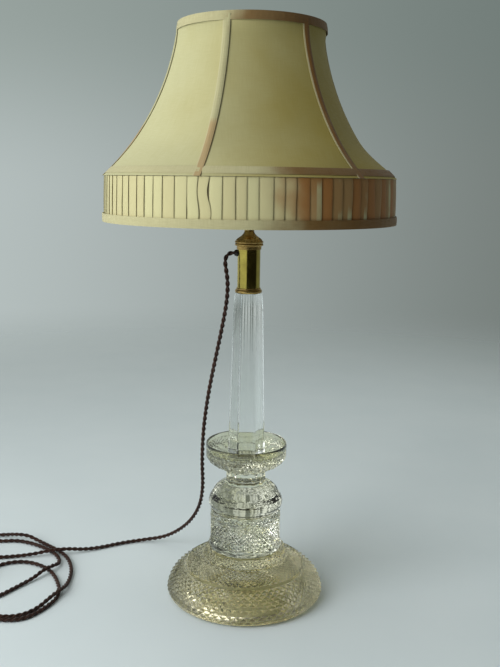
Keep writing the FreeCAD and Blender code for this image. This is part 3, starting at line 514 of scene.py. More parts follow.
class Groups:
    """The shader node groups that several finishes share, each built once."""

    makers = {"handling_wear": make_handling_wear, "plain_weave": make_plain_weave,
              "painted_side_shade": make_painted_side_shade}

    @classmethod
    def place(cls, mix: Mixer, name: str, **inputs: object) -> bpy.types.NodeOutputs:
        """Puts a shared group into a material, with its own values; gives its outputs.

        Args:
            mix: the material's mixer.
            name: the group's name.
            **inputs: its own values, underscores for spaces.

        Returns:
            The node's outputs, by name.
        """
        tree = bpy.data.node_groups.get(name) or cls.makers[name]()
        return mix.add("Group", {"node_tree": tree}, **inputs).outputs


@dataclass(frozen=True)
class Coat:
    """A material being made: its nodes, its shader and the places that a pattern follows."""

    mix: Mixer
    shader: Node
    place: Socket                  # metres, in the lamp's own frame
    surface: Socket                # the piece's UV map

    @classmethod
    def on(cls, material: bpy.types.Material) -> "Coat":
        """Starts on a new material.

        Args:
            material: a material with nothing in it yet.

        Returns:
            Its coat.
        """
        material.use_nodes = True
        mix = Mixer(material.node_tree)
        given = mix.add("TexCoord").outputs
        return cls(mix, material.node_tree.nodes["Principled BSDF"], given["Object"], given["UV"])

    def put(self, **inputs: object) -> None:
        """Joins values to the shader's inputs, underscores for spaces."""
        for key, value in inputs.items():
            self.mix.join(value, self.shader.inputs[key.replace("_", " ")])

    def bump(self, height: Socket, strength: float, distance: float) -> None:
        """Feeds a height to the shader's normal.

        Args:
            height: the height, 0 to 1.
            strength: share of the full effect.
            distance: metres that a height of 1 stands for.
        """
        node = self.mix.add("Bump", Strength=strength, Distance=distance, Height=height)
        self.put(Normal=node.outputs[0])

    def wear(self, patch: float, contrast: float) -> Socket:
        """The mask of handling wear, in patches of that many metres.

        Args:
            patch: size of the patches, metres.
            contrast: half the width of the noise between none and all.

        Returns:
            The mask, 0 to 1.
        """
        return Groups.place(self.mix, "handling_wear", Vector=self.place, Patch_Size=patch,
                            Contrast=contrast)["Mask"]


@dataclass(frozen=True)
class Finish:
    """A surface finish; its material is made once, when it is first used."""

    name: str

    def material(self) -> bpy.types.Material:
        """The finish's Blender material.

        Returns:
            The material, with all its nodes.
        """
        name = self.name + "_finish"
        made = bpy.data.materials.get(name)
        if made is None:
            made = bpy.data.materials.new(name)
            self.dress(Coat.on(made))
        return made

    def dress(self, coat: Coat) -> None:
        """Fills in the shader; each kind of finish has its own."""
        raise NotImplementedError

    def put_on(self, *pieces: Piece) -> None:
        """Gives the finish to each piece, in place of any other.

        Args:
            *pieces: the pieces that get it.
        """
        for piece in pieces:
            piece.data.materials.clear()
            piece.data.materials.append(self.material())


@dataclass(frozen=True)
class GlassFinish(Finish):
    """Old lead glass, slightly tinted, with polishing waves and finger marks."""

    tint: Colour = (0.97, 0.98, 0.97)
    deep: Colour = (0.93, 0.95, 0.92)
    smear: float = 0.05
    wave: float = 0.12
    matt: float = 0.45             # roughness where the surface is ground
    cut_tone: Colour = (0.80, 0.81, 0.70)

    def dress(self, coat: Coat) -> None:
        """Tint from broad noise, roughness from wear and grinding, a faint wave in the normal.

        Args:
            coat: the material being made.
        """
        mix = coat.mix
        streak = mix.noise(mix.spread(coat.place, 1.0, 1.0, 0.45), 26.0, 2.0)
        ground = mix.add("Attribute", {"attribute_name": "ground"}).outputs["Fac"]
        cut = mix.ramp(ground, 0.45, 0.95)
        plain = mix.blend(mix.ramp(streak, 0.35, 0.65), self.tint, self.deep)
        smeared = mix.times(coat.wear(0.035, 0.25), self.smear)
        coat.put(Base_Color=mix.blend(cut, plain, self.cut_tone),
                 Roughness=mix.plus(smeared, mix.times(cut, self.matt)),
                 Transmission_Weight=1.0, IOR=1.53)
        coat.bump(mix.noise(mix.spread(coat.place, 1.0, 1.0, 0.2), 60.0, 1.0), self.wave, 0.002)


@dataclass(frozen=True)
class MetalFinish(Finish):
    """Turned metal with tarnish in patches and fine lathe marks."""

    bright: Colour = (0.64, 0.54, 0.13)
    tarnish: Colour = (0.30, 0.21, 0.05)
    polished: float = 0.06
    dull: float = 0.17
    patch: float = 0.02

    def dress(self, coat: Coat) -> None:
        """Colour and roughness from wear, and rings of lathe marks in the normal.

        Args:
            coat: the material being made.
        """
        mix, worn = coat.mix, coat.wear(self.patch, 0.22)
        coat.put(Base_Color=mix.blend(mix.times(worn, 0.55), self.bright, self.tarnish),
                 Roughness=mix.ramp(worn, 0.0, 1.0, self.polished, self.dull), Metallic=1.0)
        coat.bump(mix.noise(mix.spread(coat.place, 4.0, 4.0, 5200.0), 1.0, 2.0), 0.03, 0.0002)


@dataclass(frozen=True)
class MouldedFinish(Finish):
    """Ceramic, rubber, felt, enamel or moulded plastic."""

    light: Colour
    dark: Colour
    roughness: float
    grain: float = 0.004           # size of the grain, metres
    relief: float = 0.15
    sheen: float = 0.0

    def dress(self, coat: Coat) -> None:
        """Two colours by wear, and a fine grain in the normal.

        Args:
            coat: the material being made.
        """
        mix, worn = coat.mix, coat.wear(0.015, 0.25)
        rough = mix.ramp(worn, 0.0, 1.0, self.roughness * 0.8, min(1.0, self.roughness * 1.15))
        coat.put(Base_Color=mix.blend(worn, self.light, self.dark), Roughness=rough,
                 Sheen_Weight=self.sheen)
        coat.bump(mix.noise(coat.place, 1.0 / self.grain), self.relief, 0.0005)


@dataclass(frozen=True)
class ClothFinish(Finish):
    """Woven silk or cotton, painted darker and browner as shade on its side away from the light;
    the cloth's UV is in millimetres.
    """

    # The first colour is the cloth's own on its side facing the light; the second is painted darker
    # and browner, as shade on its side away from the light.
    lit_side: Colour
    shaded_side: Colour
    threads: float = 1.6           # to the millimetre
    sheen: float = 0.12
    gloss: float = 0.62            # roughness between the slubs
    relief: float = 0.25
    # Where along X the painted shade starts, and where it is full.
    shade_from: float = -0.02       # metres along X
    shade_to: float = 0.16
    stains: float = 0.12

    def tones(self, coat: Coat) -> tuple[Socket, Socket]:
        """How much painted shade the cloth has, 0 to 1, and its colour by that.

        Args:
            coat: the material being made.

        Returns:
            The share and the colour.
        """
        shaded_side = Groups.place(coat.mix, "painted_side_shade", Vector=coat.place, From=self.shade_from,
                               To=self.shade_to)["Painted Shade"]
        return shaded_side, coat.mix.blend(shaded_side, self.lit_side, self.shaded_side)

    def weave(self, coat: Coat, vector: Socket) -> bpy.types.NodeOutputs:
        """The weave's height and slubs, for a vector in millimetres on the cloth."""
        return Groups.place(coat.mix, "plain_weave", Vector=vector,
                            Threads_Per_Millimetre=self.threads)

    def lay_on(self, coat: Coat, colour: Socket, roughness: object, height: Socket) -> None:
        """Gives the shader the cloth's colour, gloss, sheen and thread height.

        Args:
            coat: the material being made.
            colour: the cloth's colour.
            roughness: its roughness, plain or from the slubs.
            height: the height of its threads.
        """
        coat.put(Base_Color=colour, Roughness=roughness, Sheen_Weight=self.sheen,
                 Sheen_Roughness=0.4, Specular_IOR_Level=0.25)
        coat.bump(height, self.relief, 0.0003)

    def dress(self, coat: Coat) -> None:
        """Weave height in the normal; slubs, mottling and the painted shade in the colour.

        Args:
            coat: the material being made.
        """
        mix = coat.mix
        weave = self.weave(coat, coat.surface)
        shaded_side, colour = self.tones(coat)
        slubs = weave["Slubs"]
        colour = mix.blend(mix.times(slubs, self.stains), colour, darker(self.shaded_side, 0.55))
        mottle = mix.ramp(mix.noise(coat.place, 18.0, 4.0), 0.35, 0.7)
        colour = mix.blend(mix.times(mottle, self.stains), colour, darker(self.lit_side, 0.72))
        rough = mix.ramp(slubs, 0.0, 1.0, self.gloss - 0.08, self.gloss + 0.1)
        self.lay_on(coat, self.detail(coat, colour, shaded_side), rough, weave["Height"])

    def detail(self, coat: Coat, colour: Socket, shaded_side: Socket) -> Socket:
        """Any pattern of this cloth's own; plain cloth has none."""
        return colour


@dataclass(frozen=True)
class PleatFinish(ClothFinish):
    """Knife-pleated silk, where some pleats, picked at random, are painted browner as shade, most
    of all on the shaded side; U counts the pleats.
    """

    # The colour that pleats painted in shade take.
    brown_pleat: Colour = (0.30, 0.13, 0.035)
    pleat_width: float = 15.0      # millimetres

    def dress(self, coat: Coat) -> None:
        """As cloth, with a random tone for each pleat, painted shade on some pleats and in the
        folds, and a painted highlight along some pleats on the shaded side.

        Args:
            coat: the material being made.
        """
        mix = coat.mix
        count, up, _ = mix.parts(coat.surface)
        pleat, phase = mix.math("FLOOR", count), mix.math("FRACT", count)
        tone = mix.add("TexWhiteNoise", {"noise_dimensions": "1D"}, W=pleat).outputs[0]
        across = mix.times(count, self.pleat_width)
        weave = self.weave(coat, mix.add("CombineXYZ", X=across, Y=up).outputs[0])
        shaded_side, colour = self.tones(coat)
        # Pleats picked at random are painted browner, as shade, mostly on the side away from the
        # light.
        shaded_pleats = mix.times(mix.ramp(tone, 0.3, 0.7), mix.ramp(shaded_side, 0.0, 0.8, 0.10, 0.95))
        colour = mix.blend(shaded_pleats, colour, self.brown_pleat)
        # A pale strip painted as a highlight along some pleats, on the side away from the light.
        pleat_highlight = mix.times(mix.ramp(phase, 0.52, 0.60), mix.ramp(tone, 0.62, 0.50))
        pleat_highlight = mix.times(pleat_highlight, mix.ramp(mix.noise(coat.place, 26.0, 2.0), 0.42, 0.60))
        colour = mix.blend(mix.times(pleat_highlight, shaded_side), colour, darker(self.lit_side, 0.8))
        # Painted shade in the folds, where each pleat tucks under the next.
        fold = mix.math("MAXIMUM", mix.ramp(phase, 0.88, 0.97), mix.ramp(phase, 0.08, 0.0))
        colour = mix.blend(mix.times(fold, 0.85), colour, darker(self.shaded_side, 0.22))
        self.lay_on(coat, colour, self.gloss, weave["Height"])


@dataclass(frozen=True)
class TapeFinish(ClothFinish):
    """Folded tape: U runs from 0 to its width across, with a pale edge painted as a highlight and a
    dark edge painted as shadow.
    """

    width: float = 10.5
    # The pale colour is a painted highlight along one edge, and the edge colour a painted shadow
    # along the other.
    pale: Colour = (0.46, 0.42, 0.24)
    peach: Colour = (0.37, 0.245, 0.115)
    edge: Colour = (0.03, 0.03, 0.01)

    def detail(self, coat: Coat, colour: Socket, shaded_side: Socket) -> Socket:
        """Peach low down, a pale edge painted as a highlight on one side and a dark edge painted as
        the fold's shadow on the other.

        Args:
            coat: the material being made.
            colour: the plain cloth's colour.
            shaded_side: how much painted shade the cloth has, 0 to 1.

        Returns:
            The tape's colour.
        """
        mix = coat.mix
        across, up, _ = mix.parts(coat.surface)
        warm = mix.times(mix.ramp(up, 92.0, 78.0, 0.0, 0.8), mix.minus(1.0, shaded_side))
        colour = mix.blend(warm, colour, self.peach)
        # A pale strip painted as a highlight along one edge.
        pale = mix.ramp(across, self.width * 0.20, self.width * 0.13)
        colour = mix.blend(mix.times(pale, 0.8), colour, self.pale)
        # A dark strip painted as the fold's shadow along the other edge.
        edge = mix.ramp(across, self.width * 0.90, self.width * 0.97)
        return mix.blend(mix.times(edge, 0.8), colour, self.edge)


@dataclass(frozen=True)
class FlexFinish(Finish):
    """Braided silk over each core: U runs round the core and V along it, in millimetres."""

    dark: Colour = (0.012, 0.005, 0.004)
    light: Colour = (0.095, 0.036, 0.020)
    slant: float = 5.0             # radians of the braid's waves to the millimetre

    def dress(self, coat: Coat) -> None:
        """A diamond braid: the product of two waves slanting opposite ways.

        Args:
            coat: the material being made.
        """
        mix = coat.mix
        around, along, _ = mix.parts(coat.surface)
        left = mix.math("SINE", mix.times(mix.plus(around, along), self.slant))
        right = mix.math("SINE", mix.times(mix.minus(around, along), self.slant))
        braid = mix.times(left, right)
        worn = mix.ramp(coat.wear(0.02, 0.2), 0.0, 1.0, 0.5, 1.0)
        share = mix.times(mix.ramp(braid, -0.6, 0.9), worn)
        coat.put(Base_Color=mix.blend(share, self.dark, self.light), Roughness=0.5,
                 Sheen_Weight=0.05, Specular_IOR_Level=0.3)
        coat.bump(braid, 0.5, 0.0003)


class Glass:
    """The glass finishes, one for each thickness of glass."""

    FOOT = GlassFinish("khaki_foot_glass", tint=(0.97, 0.90, 0.66), deep=(0.92, 0.84, 0.52),
                       cut_tone=(0.93, 0.85, 0.56), matt=0.22)
    DRUM = GlassFinish("drum_glass", tint=(0.96, 0.95, 0.86), deep=(0.91, 0.90, 0.64), matt=0.25)
    DISH = GlassFinish("dish_glass", tint=(0.90, 0.89, 0.73), deep=(0.82, 0.80, 0.53), matt=0.3)
    COLUMN = GlassFinish("column_glass", wave=0.04)
    CEMENT = GlassFinish("clear_cement", tint=(0.95, 0.94, 0.88), deep=(0.90, 0.88, 0.78),
                         smear=0.3)
    BULB = GlassFinish("bulb_glass", tint=(0.99, 0.99, 0.99), deep=(0.98, 0.98, 0.98), smear=0.03)


class Metal:
    """The metal finishes."""

    BRASS = MetalFinish("polished_brass")
    OLD_BRASS = MetalFinish("tarnished_brass", bright=(0.55, 0.38, 0.13),
                            tarnish=(0.16, 0.08, 0.03), polished=0.2, dull=0.45, patch=0.009)
    STEEL = MetalFinish("steel_wire", bright=(0.55, 0.55, 0.54), tarnish=(0.3, 0.28, 0.25),
                        dull=0.5)
    FRAME = MetalFinish("frame_wire", bright=(0.50, 0.46, 0.38), tarnish=(0.26, 0.2, 0.12),
                        polished=0.3, dull=0.55)
    CAP = MetalFinish("bulb_cap_metal", bright=(0.74, 0.70, 0.58), tarnish=(0.4, 0.36, 0.28))
    TUNGSTEN = MetalFinish("filament_wire", bright=(0.32, 0.31, 0.30), tarnish=(0.2, 0.2, 0.2),
                           dull=0.5)


class Moulded:
    """The ceramic, rubber, felt and plastic finishes: light tone, dark tone, roughness."""

    CERAMIC = MouldedFinish("holder_ceramic", (0.75, 0.72, 0.64), (0.62, 0.58, 0.48), 0.35)
    BUSH = MouldedFinish("dark_bush", (0.03, 0.025, 0.02), (0.015, 0.012, 0.01), 0.45)
    LEAD = MouldedFinish("lead_rubber", (0.10, 0.05, 0.04), (0.05, 0.03, 0.02), 0.6)
    BAIZE = MouldedFinish("green_baize", (0.03, 0.09, 0.04), (0.02, 0.06, 0.03), 0.95,
                          grain=0.0006, relief=0.6, sheen=0.3)
    BASE = MouldedFinish("black_vitrite", (0.02, 0.02, 0.025), (0.012, 0.012, 0.014), 0.15)
    PLUG = MouldedFinish("brown_plug", (0.075, 0.032, 0.018), (0.045, 0.018, 0.01), 0.28,
                         grain=0.0015, relief=0.06)


class Cloth:
    """The cloth finishes: tone on the side facing the light, tone painted darker as shade on the
    side away from it.
    """

    SILK = ClothFinish("gore_silk", (0.480, 0.455, 0.254), (0.325, 0.255, 0.058), sheen=0.05,
                       shade_from=-0.13, shade_to=0.13, relief=0.15, stains=0.08)
    LINING = ClothFinish("lining_silk", (0.56, 0.52, 0.38), (0.50, 0.44, 0.30))
    PLEATS = PleatFinish("pleated_silk", (0.52, 0.48, 0.26), (0.30, 0.18, 0.07), relief=0.12,
                         shade_from=0.01, shade_to=0.09)
    TRIM = ClothFinish("trim_braid", (0.47, 0.43, 0.24), (0.175, 0.088, 0.020), relief=0.4,
                       shade_from=0.00, shade_to=0.065)
    TOP_TRIM = ClothFinish("top_trim_braid", (0.47, 0.43, 0.24), (0.17, 0.09, 0.028), relief=0.4,
                           shade_from=-0.045, shade_to=0.0)
    TAPE = TapeFinish("rib_tape", (0.43, 0.40, 0.22), (0.20, 0.095, 0.025), relief=0.4,
                      shade_from=-0.03, shade_to=0.04)
    FLEX = FlexFinish("silk_flex")


def keep(finish: Finish, *nodes: str) -> list[Piece]:
    """Gives a finish to CAD nodes whose own shape is kept, and returns them.

    Args:
        finish: the finish.
        *nodes: the nodes' names.

    Returns:
        The nodes' objects.
    """
    pieces = [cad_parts[node] for node in nodes]
    finish.put_on(*pieces)
    log.info("kept %s in %s", ", ".join(nodes), finish.name)
    return pieces


def fit(piece: Piece, finish: Finish, body: str, slot: str, *nodes: str) -> Piece:
    """Finishes a new piece, rides it on its body and hides the CAD nodes it replaces.

    Args:
        piece: the new piece.
        finish: its finish.
        body: the body it moves with.
        slot: not used.
        *nodes: the CAD nodes it replaces.

    Returns:
        The piece.
    """
    finish.put_on(piece)
    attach(piece, body)
    if nodes:
        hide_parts(*nodes)
    log.info("made %s on %s in %s", piece.name, body, finish.name)
    return piece


# ---- Studio -----------------------------------------------------------------------------

@dataclass
class Studio:
    """Camera, lights, pale surroundings and the table; places in metres."""

    eye: tuple[float, float, float] = (-0.0004, -1.138, 0.5985)
    pitch: float = 0.182           # radians below the horizon
    yaw: float = 0.003
    roll: float = 0.0145
    lens: float = 44.16
    daylight: Colour = (0.95, 0.98, 1.0)
    table_reach: float = 6000.0    # millimetres

    def build(self) -> None:
        """Makes everything that isn't the lamp."""
        self.camera()
        self.surroundings()
        self.table()
        self.light("window_light", (-1.35, -1.0, 0.95), 0.42, (1.5, 1.5), 31.0)
        self.light("sheet_bounce", (1.5, 0.3, 0.9), 0.35, (1.4, 1.6), 2.2)
        self.light("ceiling_bounce", (-0.3, 0.3, 2.1), 0.2, (2.0, 2.0), 6.0)

    def camera(self) -> None:
        """The camera at the lamp's front, a little above its middle."""
        data = bpy.data.cameras.new("camera")
        data.lens = self.lens
        data.sensor_width = 36.0
        made = linked("camera", data)
        made.location = self.eye
        level = math.cos(self.pitch)
        ahead = Vector((math.sin(self.yaw) * level, math.cos(self.yaw) * level,
                        -math.sin(self.pitch)))
        made.rotation_euler = (ahead.to_track_quat("-Z", "Y").to_matrix()
                               @ Matrix.Rotation(self.roll, 3, "Z")).to_euler()
        bpy.context.scene.camera = made

    def light(self, name: str, place: tuple, aim: float, size: tuple, power: float) -> None:
        """A soft rectangular light, which polished surfaces don't mirror.

        Args:
            name: the light's name.
            place: where it stands.
            aim: the height on the lamp's axis that it faces.
            size: its width and height.
            power: watts.
        """
        data = bpy.data.lights.new(name, "AREA")
        data.shape = "RECTANGLE"
        data.size, data.size_y = size
        data.energy = power
        data.color = self.daylight
        made = linked(name, data)
        made.location = place
        ahead = Vector((0.0, 0.0, aim)) - Vector(place)
        made.rotation_euler = ahead.to_track_quat("-Z", "Y").to_euler()
        made.visible_glossy = False

    @staticmethod
    def surroundings() -> None:
        """Pale plain surroundings, painted brighter to the left, as the window light falls on them.

        Gloss and glass see a folded pale sheet behind the lamp, dark in front of it and a
        soft pane at its front left instead.
        """
        scene = bpy.context.scene
        scene.view_settings.view_transform = "Standard"
        scene.world = bpy.data.worlds.new("pale_room")
        scene.world.use_nodes = True
        mix = Mixer(scene.world.node_tree)
        right, back, up = mix.parts(mix.add("TexCoord").outputs["Generated"])
        # Seen straight on, the backdrop is painted lighter on the left and low down, as the window
        # light falls on it.
        across = mix.ramp(right, -0.45, 0.45)
        low = mix.blend(across, srgb(184, 194, 193), srgb(114, 122, 118))
        high = mix.blend(across, srgb(154, 165, 161), srgb(110, 121, 117))
        plain = mix.blend(mix.ramp(up, -0.02, 0.20), low, high)
        turn = mix.math("ARCTAN2", right, back)
        fold = mix.add("TexNoise", {"noise_dimensions": "1D"}, W=turn, Scale=9.0,
                       Detail=3.0).outputs[0]
        sheet = mix.blend(mix.ramp(right, -0.9, 0.9), srgb(246, 252, 250), srgb(132, 140, 137))
        sheet = mix.blend(mix.ramp(fold, 0.56, 0.44), sheet, srgb(112, 118, 113))
        dark = mix.blend(mix.ramp(up, 0.1, 0.9), (0.012, 0.011, 0.010), (0.10, 0.105, 0.10))
        room = mix.blend(mix.ramp(back, -0.25, 0.05), dark, sheet)
        pane = mix.times(mix.ramp(turn, -1.15, -1.30), mix.ramp(turn, -2.85, -2.70))
        pane = mix.times(pane, mix.ramp(up, -0.25, -0.10))
        room = mix.blend(pane, room, (0.62, 0.66, 0.62))
        seen = mix.add("LightPath").outputs["Is Camera Ray"]
        backdrop = scene.world.node_tree.nodes["Background"]
        mix.join(mix.blend(seen, room, plain), backdrop.inputs["Color"])
        backdrop.inputs["Strength"].default_value = 1.0

    def table(self) -> None:
        """A wide pale table top that fades into the surroundings."""
        rings = 24
        reach = np.linspace(0.0, 1.0, rings) ** 2 * self.table_reach
        skin = Skin()
        skin.grid(turned(np.stack([reach, np.zeros(rings)], -1), circle(96), 0.0))
        top = skin.piece("table_top")
        made = bpy.data.materials.new("pale_table")
        coat = Coat.on(made)
        mix = coat.mix
        tone = mix.blend(mix.noise(coat.place, 5.0), srgb(213, 222, 224), srgb(223, 230, 231))
        coat.put(Base_Color=tone, Roughness=0.85)
        coat.bump(mix.noise(coat.place, 900.0, 2.0), 0.1, 0.0005)
        away = mix.add("VectorMath", {"operation": "LENGTH"}, i0=coat.place).outputs["Value"]
        lit_side = mix.add("MixShader", i0=mix.ramp(away, 0.9, 3.0), i1=coat.shader.outputs[0],
                        i2=mix.add("BsdfTransparent").outputs[0])
        mix.join(lit_side.outputs[0], made.node_tree.nodes["Material Output"].inputs[0])
        top.data.materials.append(made)


# ---- Flex and plug ----------------------------------------------------------------------

@dataclass
class Flex:
    """Twisted two-core silk flex: down from the tube, along the table, in three loose turns.

    In the route, a point given by two numbers lies on the table, at low.
    """

    core_radius: float = 1.9
    twist_radius: float = 1.3
    pitch: float = 18.0
    sides: int = 8
    rings_per_turn: int = 12
    low: float = 3.3               # height of its middle on the table
    hump: float = 9.4              # and over another strand
    length: float = 2.88           # metres
    diameter: float = 6.2
    #: where the flex leaves the tube, and how it falls and runs to the turns
    fall = (
        (-20, 0, 502.7), (-25.2, 0, 502.7), (-29.7, -1.2, 500.1), (-32.5, -2.6, 495.4),
        (-32.9, -4.2, 488.4), (-31.4, -5.6, 479.5), (-29.2, -6.4, 466), (-28.9, -5.4, 448),
        (-31.4, -1.8, 425), (-37, 5.5, 394), (-45.6, 15.6, 351), (-56.4, 28.4, 296),
        (-64.6, 43.2, 236), (-67.4, 58, 178), (-66, 71.6, 132), (-72, 88.6, 94),
        (-87, 108.6, 61), (-109, 131.6, 33), (-136, 150.6, 12), (-170, 158.6, 3.6),
        (-207, 145), (-241, 125, 3.4), (-266, 113.6, 5.6),
    )
    #: the run over the two strands that lie below it
    over = ((-287, 107, 9.6), (-313, 101, 9.6), (-340, 95, 5.2), (-366, 91), (-391, 86))
    third = (
        (-334, -103), (-318, -104), (-303, -99), (-290, -84), (-279, -64), (-271.5, -42),
        (-272.5, -20), (-280, 3), (-291, 27), (-305, 47), (-322, 61), (-340, 70), (-360, 72),
    )
    small = (
        (-380, 64), (-394, 48), (-399, 27), (-398, 4), (-398, -19), (-394, -40), (-381, -52),
        (-366, -49),
    )
    inner = (
        (-355, -36), (-346, -22), (-334, -4), (-320, 16, 4.5), (-309, 33, 9.4), (-297, 49, 9.4),
        (-293, 64, 4.5), (-295, 79), (-303, 95), (-314, 109), (-332, 124), (-353, 138),
        (-380, 149), (-407, 146),
    )
    outer = (
        (-336, -95), (-320, -94.5), (-305, -87), (-291, -70, 3.5), (-279, -50, 8.8),
        (-270, -30, 9.6), (-266, -12, 6), (-265.5, 8), (-266.5, 32), (-272, 58), (-283, 86),
        (-300, 109), (-323, 129), (-345, 147, 3.8), (-366, 158, 8.8), (-387, 159, 9.6),
        (-404, 167, 5), (-419, 170),
    )
    tail = (
        (-434, 166, 6), (-442, 153, 9.6), (-442, 137, 9.6), (-438, 118, 5), (-435, 102, 7),
        (-433, 88, 9.6), (-432, 72, 9.6), (-432, 57, 7.6), (-432, 43.5, 7),
    )

    def half_turn(self, start: tuple, end: tuple, reach: float, points: int,
                  raised: tuple = ()) -> list[tuple]:
        """The far half of a loose turn, round its left side.

        x runs evenly from start to end less reach·sin of the share of the half turn, and y
        follows its cosine.

        Args:
            start: the point before it.
            end: the point after it.
            reach: how far it swings to the left.
            points: how many points it has.
            raised: the places of those that lie over another strand.

        Returns:
            The points.
        """
        share = np.arange(1, points + 1) / (points + 1)
        x = start[0] + (end[0] - start[0]) * share - reach * np.sin(math.pi * share) ** 0.9
        y = start[1] + (end[1] - start[1]) * (1.0 - np.cos(math.pi * share)) / 2.0
        z = np.where(np.isin(np.arange(points), raised), self.hump, self.low)
        return list(zip(x, y, z))

    def route(self) -> np.ndarray:
        """Every point that the flex is drawn towards, from the tube to the plug.

        Returns:
            Rows of x, y and z, in millimetres.
        """
        near = self.half_turn(self.over[-1], self.third[0], 138.0, 10)
        far = self.half_turn(self.inner[-1], self.outer[0], 158.0, 11, raised=(8, 9))
        points = (*self.fall, *self.over, *near, *self.third, *self.small, *self.inner, *far,
                  *self.outer, *self.tail)
        return np.array([(*point, self.low)[:3] for point in points])

    def centre_line(self) -> np.ndarray:
        """Points along the smooth line drawn towards the route, in millimetres.

        Returns:
            Rows of x, y and z.
        """
        points = self.route() * MM
        data = bpy.data.curves.new("flex_line", "CURVE")
        data.dimensions = "3D"
        data.resolution_u = 12
        spline = data.splines.new("NURBS")
        spline.points.add(len(points) - 1)
        spline.points.foreach_set("co", np.c_[points, np.ones(len(points))].ravel())
        spline.order_u = 3
        spline.use_endpoint_u = True
        holder = linked("flex_line", data)
        mesh = bpy.data.meshes.new_from_object(holder)
        line = np.empty(len(mesh.vertices) * 3)
        mesh.vertices.foreach_get("co", line)
        bpy.data.objects.remove(holder)
        bpy.data.meshes.remove(mesh)
        return line.reshape(-1, 3) / MM

    def build(self) -> None:
        """Each core's middle is the line plus twist_radius·(cos t·side + sin t·up), with t one
        turn for each pitch of length; its wall is a circle square to the line.
        """
        line = self.centre_line()
        run = run_along(line)
        at = np.linspace(0.0, run[-1], int(run[-1] / self.pitch * self.rings_per_turn))
        middle = np.stack([np.interp(at, run, line[:, k]) for k in range(3)], -1)
        ahead = np.gradient(middle, axis=0)
        ahead /= np.linalg.norm(ahead, axis=1)[:, None]
        never_along = (-0.7, 0.5, 0.5)      # a direction that the flex never takes
        side = np.cross(ahead, never_along)
        side /= np.linalg.norm(side, axis=1)[:, None]
        up = np.cross(side, ahead)
        around = circle(self.sides)
        ring = np.cos(around)[:, None] * side[:, None] + np.sin(around)[:, None] * up[:, None]
        uv = np.stack(np.meshgrid(around * self.core_radius, at), -1)
        skin = Skin()
        for start in (0.0, math.pi):
            turn = (start + FULL_TURN * at / self.pitch)[:, None]
            core = middle + self.twist_radius * (np.cos(turn) * side + np.sin(turn) * up)
            ends = core[[0, -1], None].repeat(self.sides + 1, 1)
            skin.grid(np.concatenate([ends[:1], core[:, None] + self.core_radius * ring, ends[1:]]),
                      np.concatenate([uv[:1], uv, uv[-1:]]))
        flex = fit(skin.piece("silk_flex", crease=60.0), Cloth.FLEX, "lamp", "flex", "flex_cord",
                   "flex_coil")
        plug = (keep(Moulded.PLUG, "plug_cover", "plug_base")
                + keep(Metal.BRASS, "plug_pins", "plug_screw"))
        log.info("flex is %.3f m long", run[-1] * MM)


# ---- Glass ------------------------------------------------------------------------------

class Cut(Enum):
    """How the rows of a glass section are cut."""

    PLAIN = "plain"
    DIAMONDS = "diamonds"
    RIBS = "ribs"


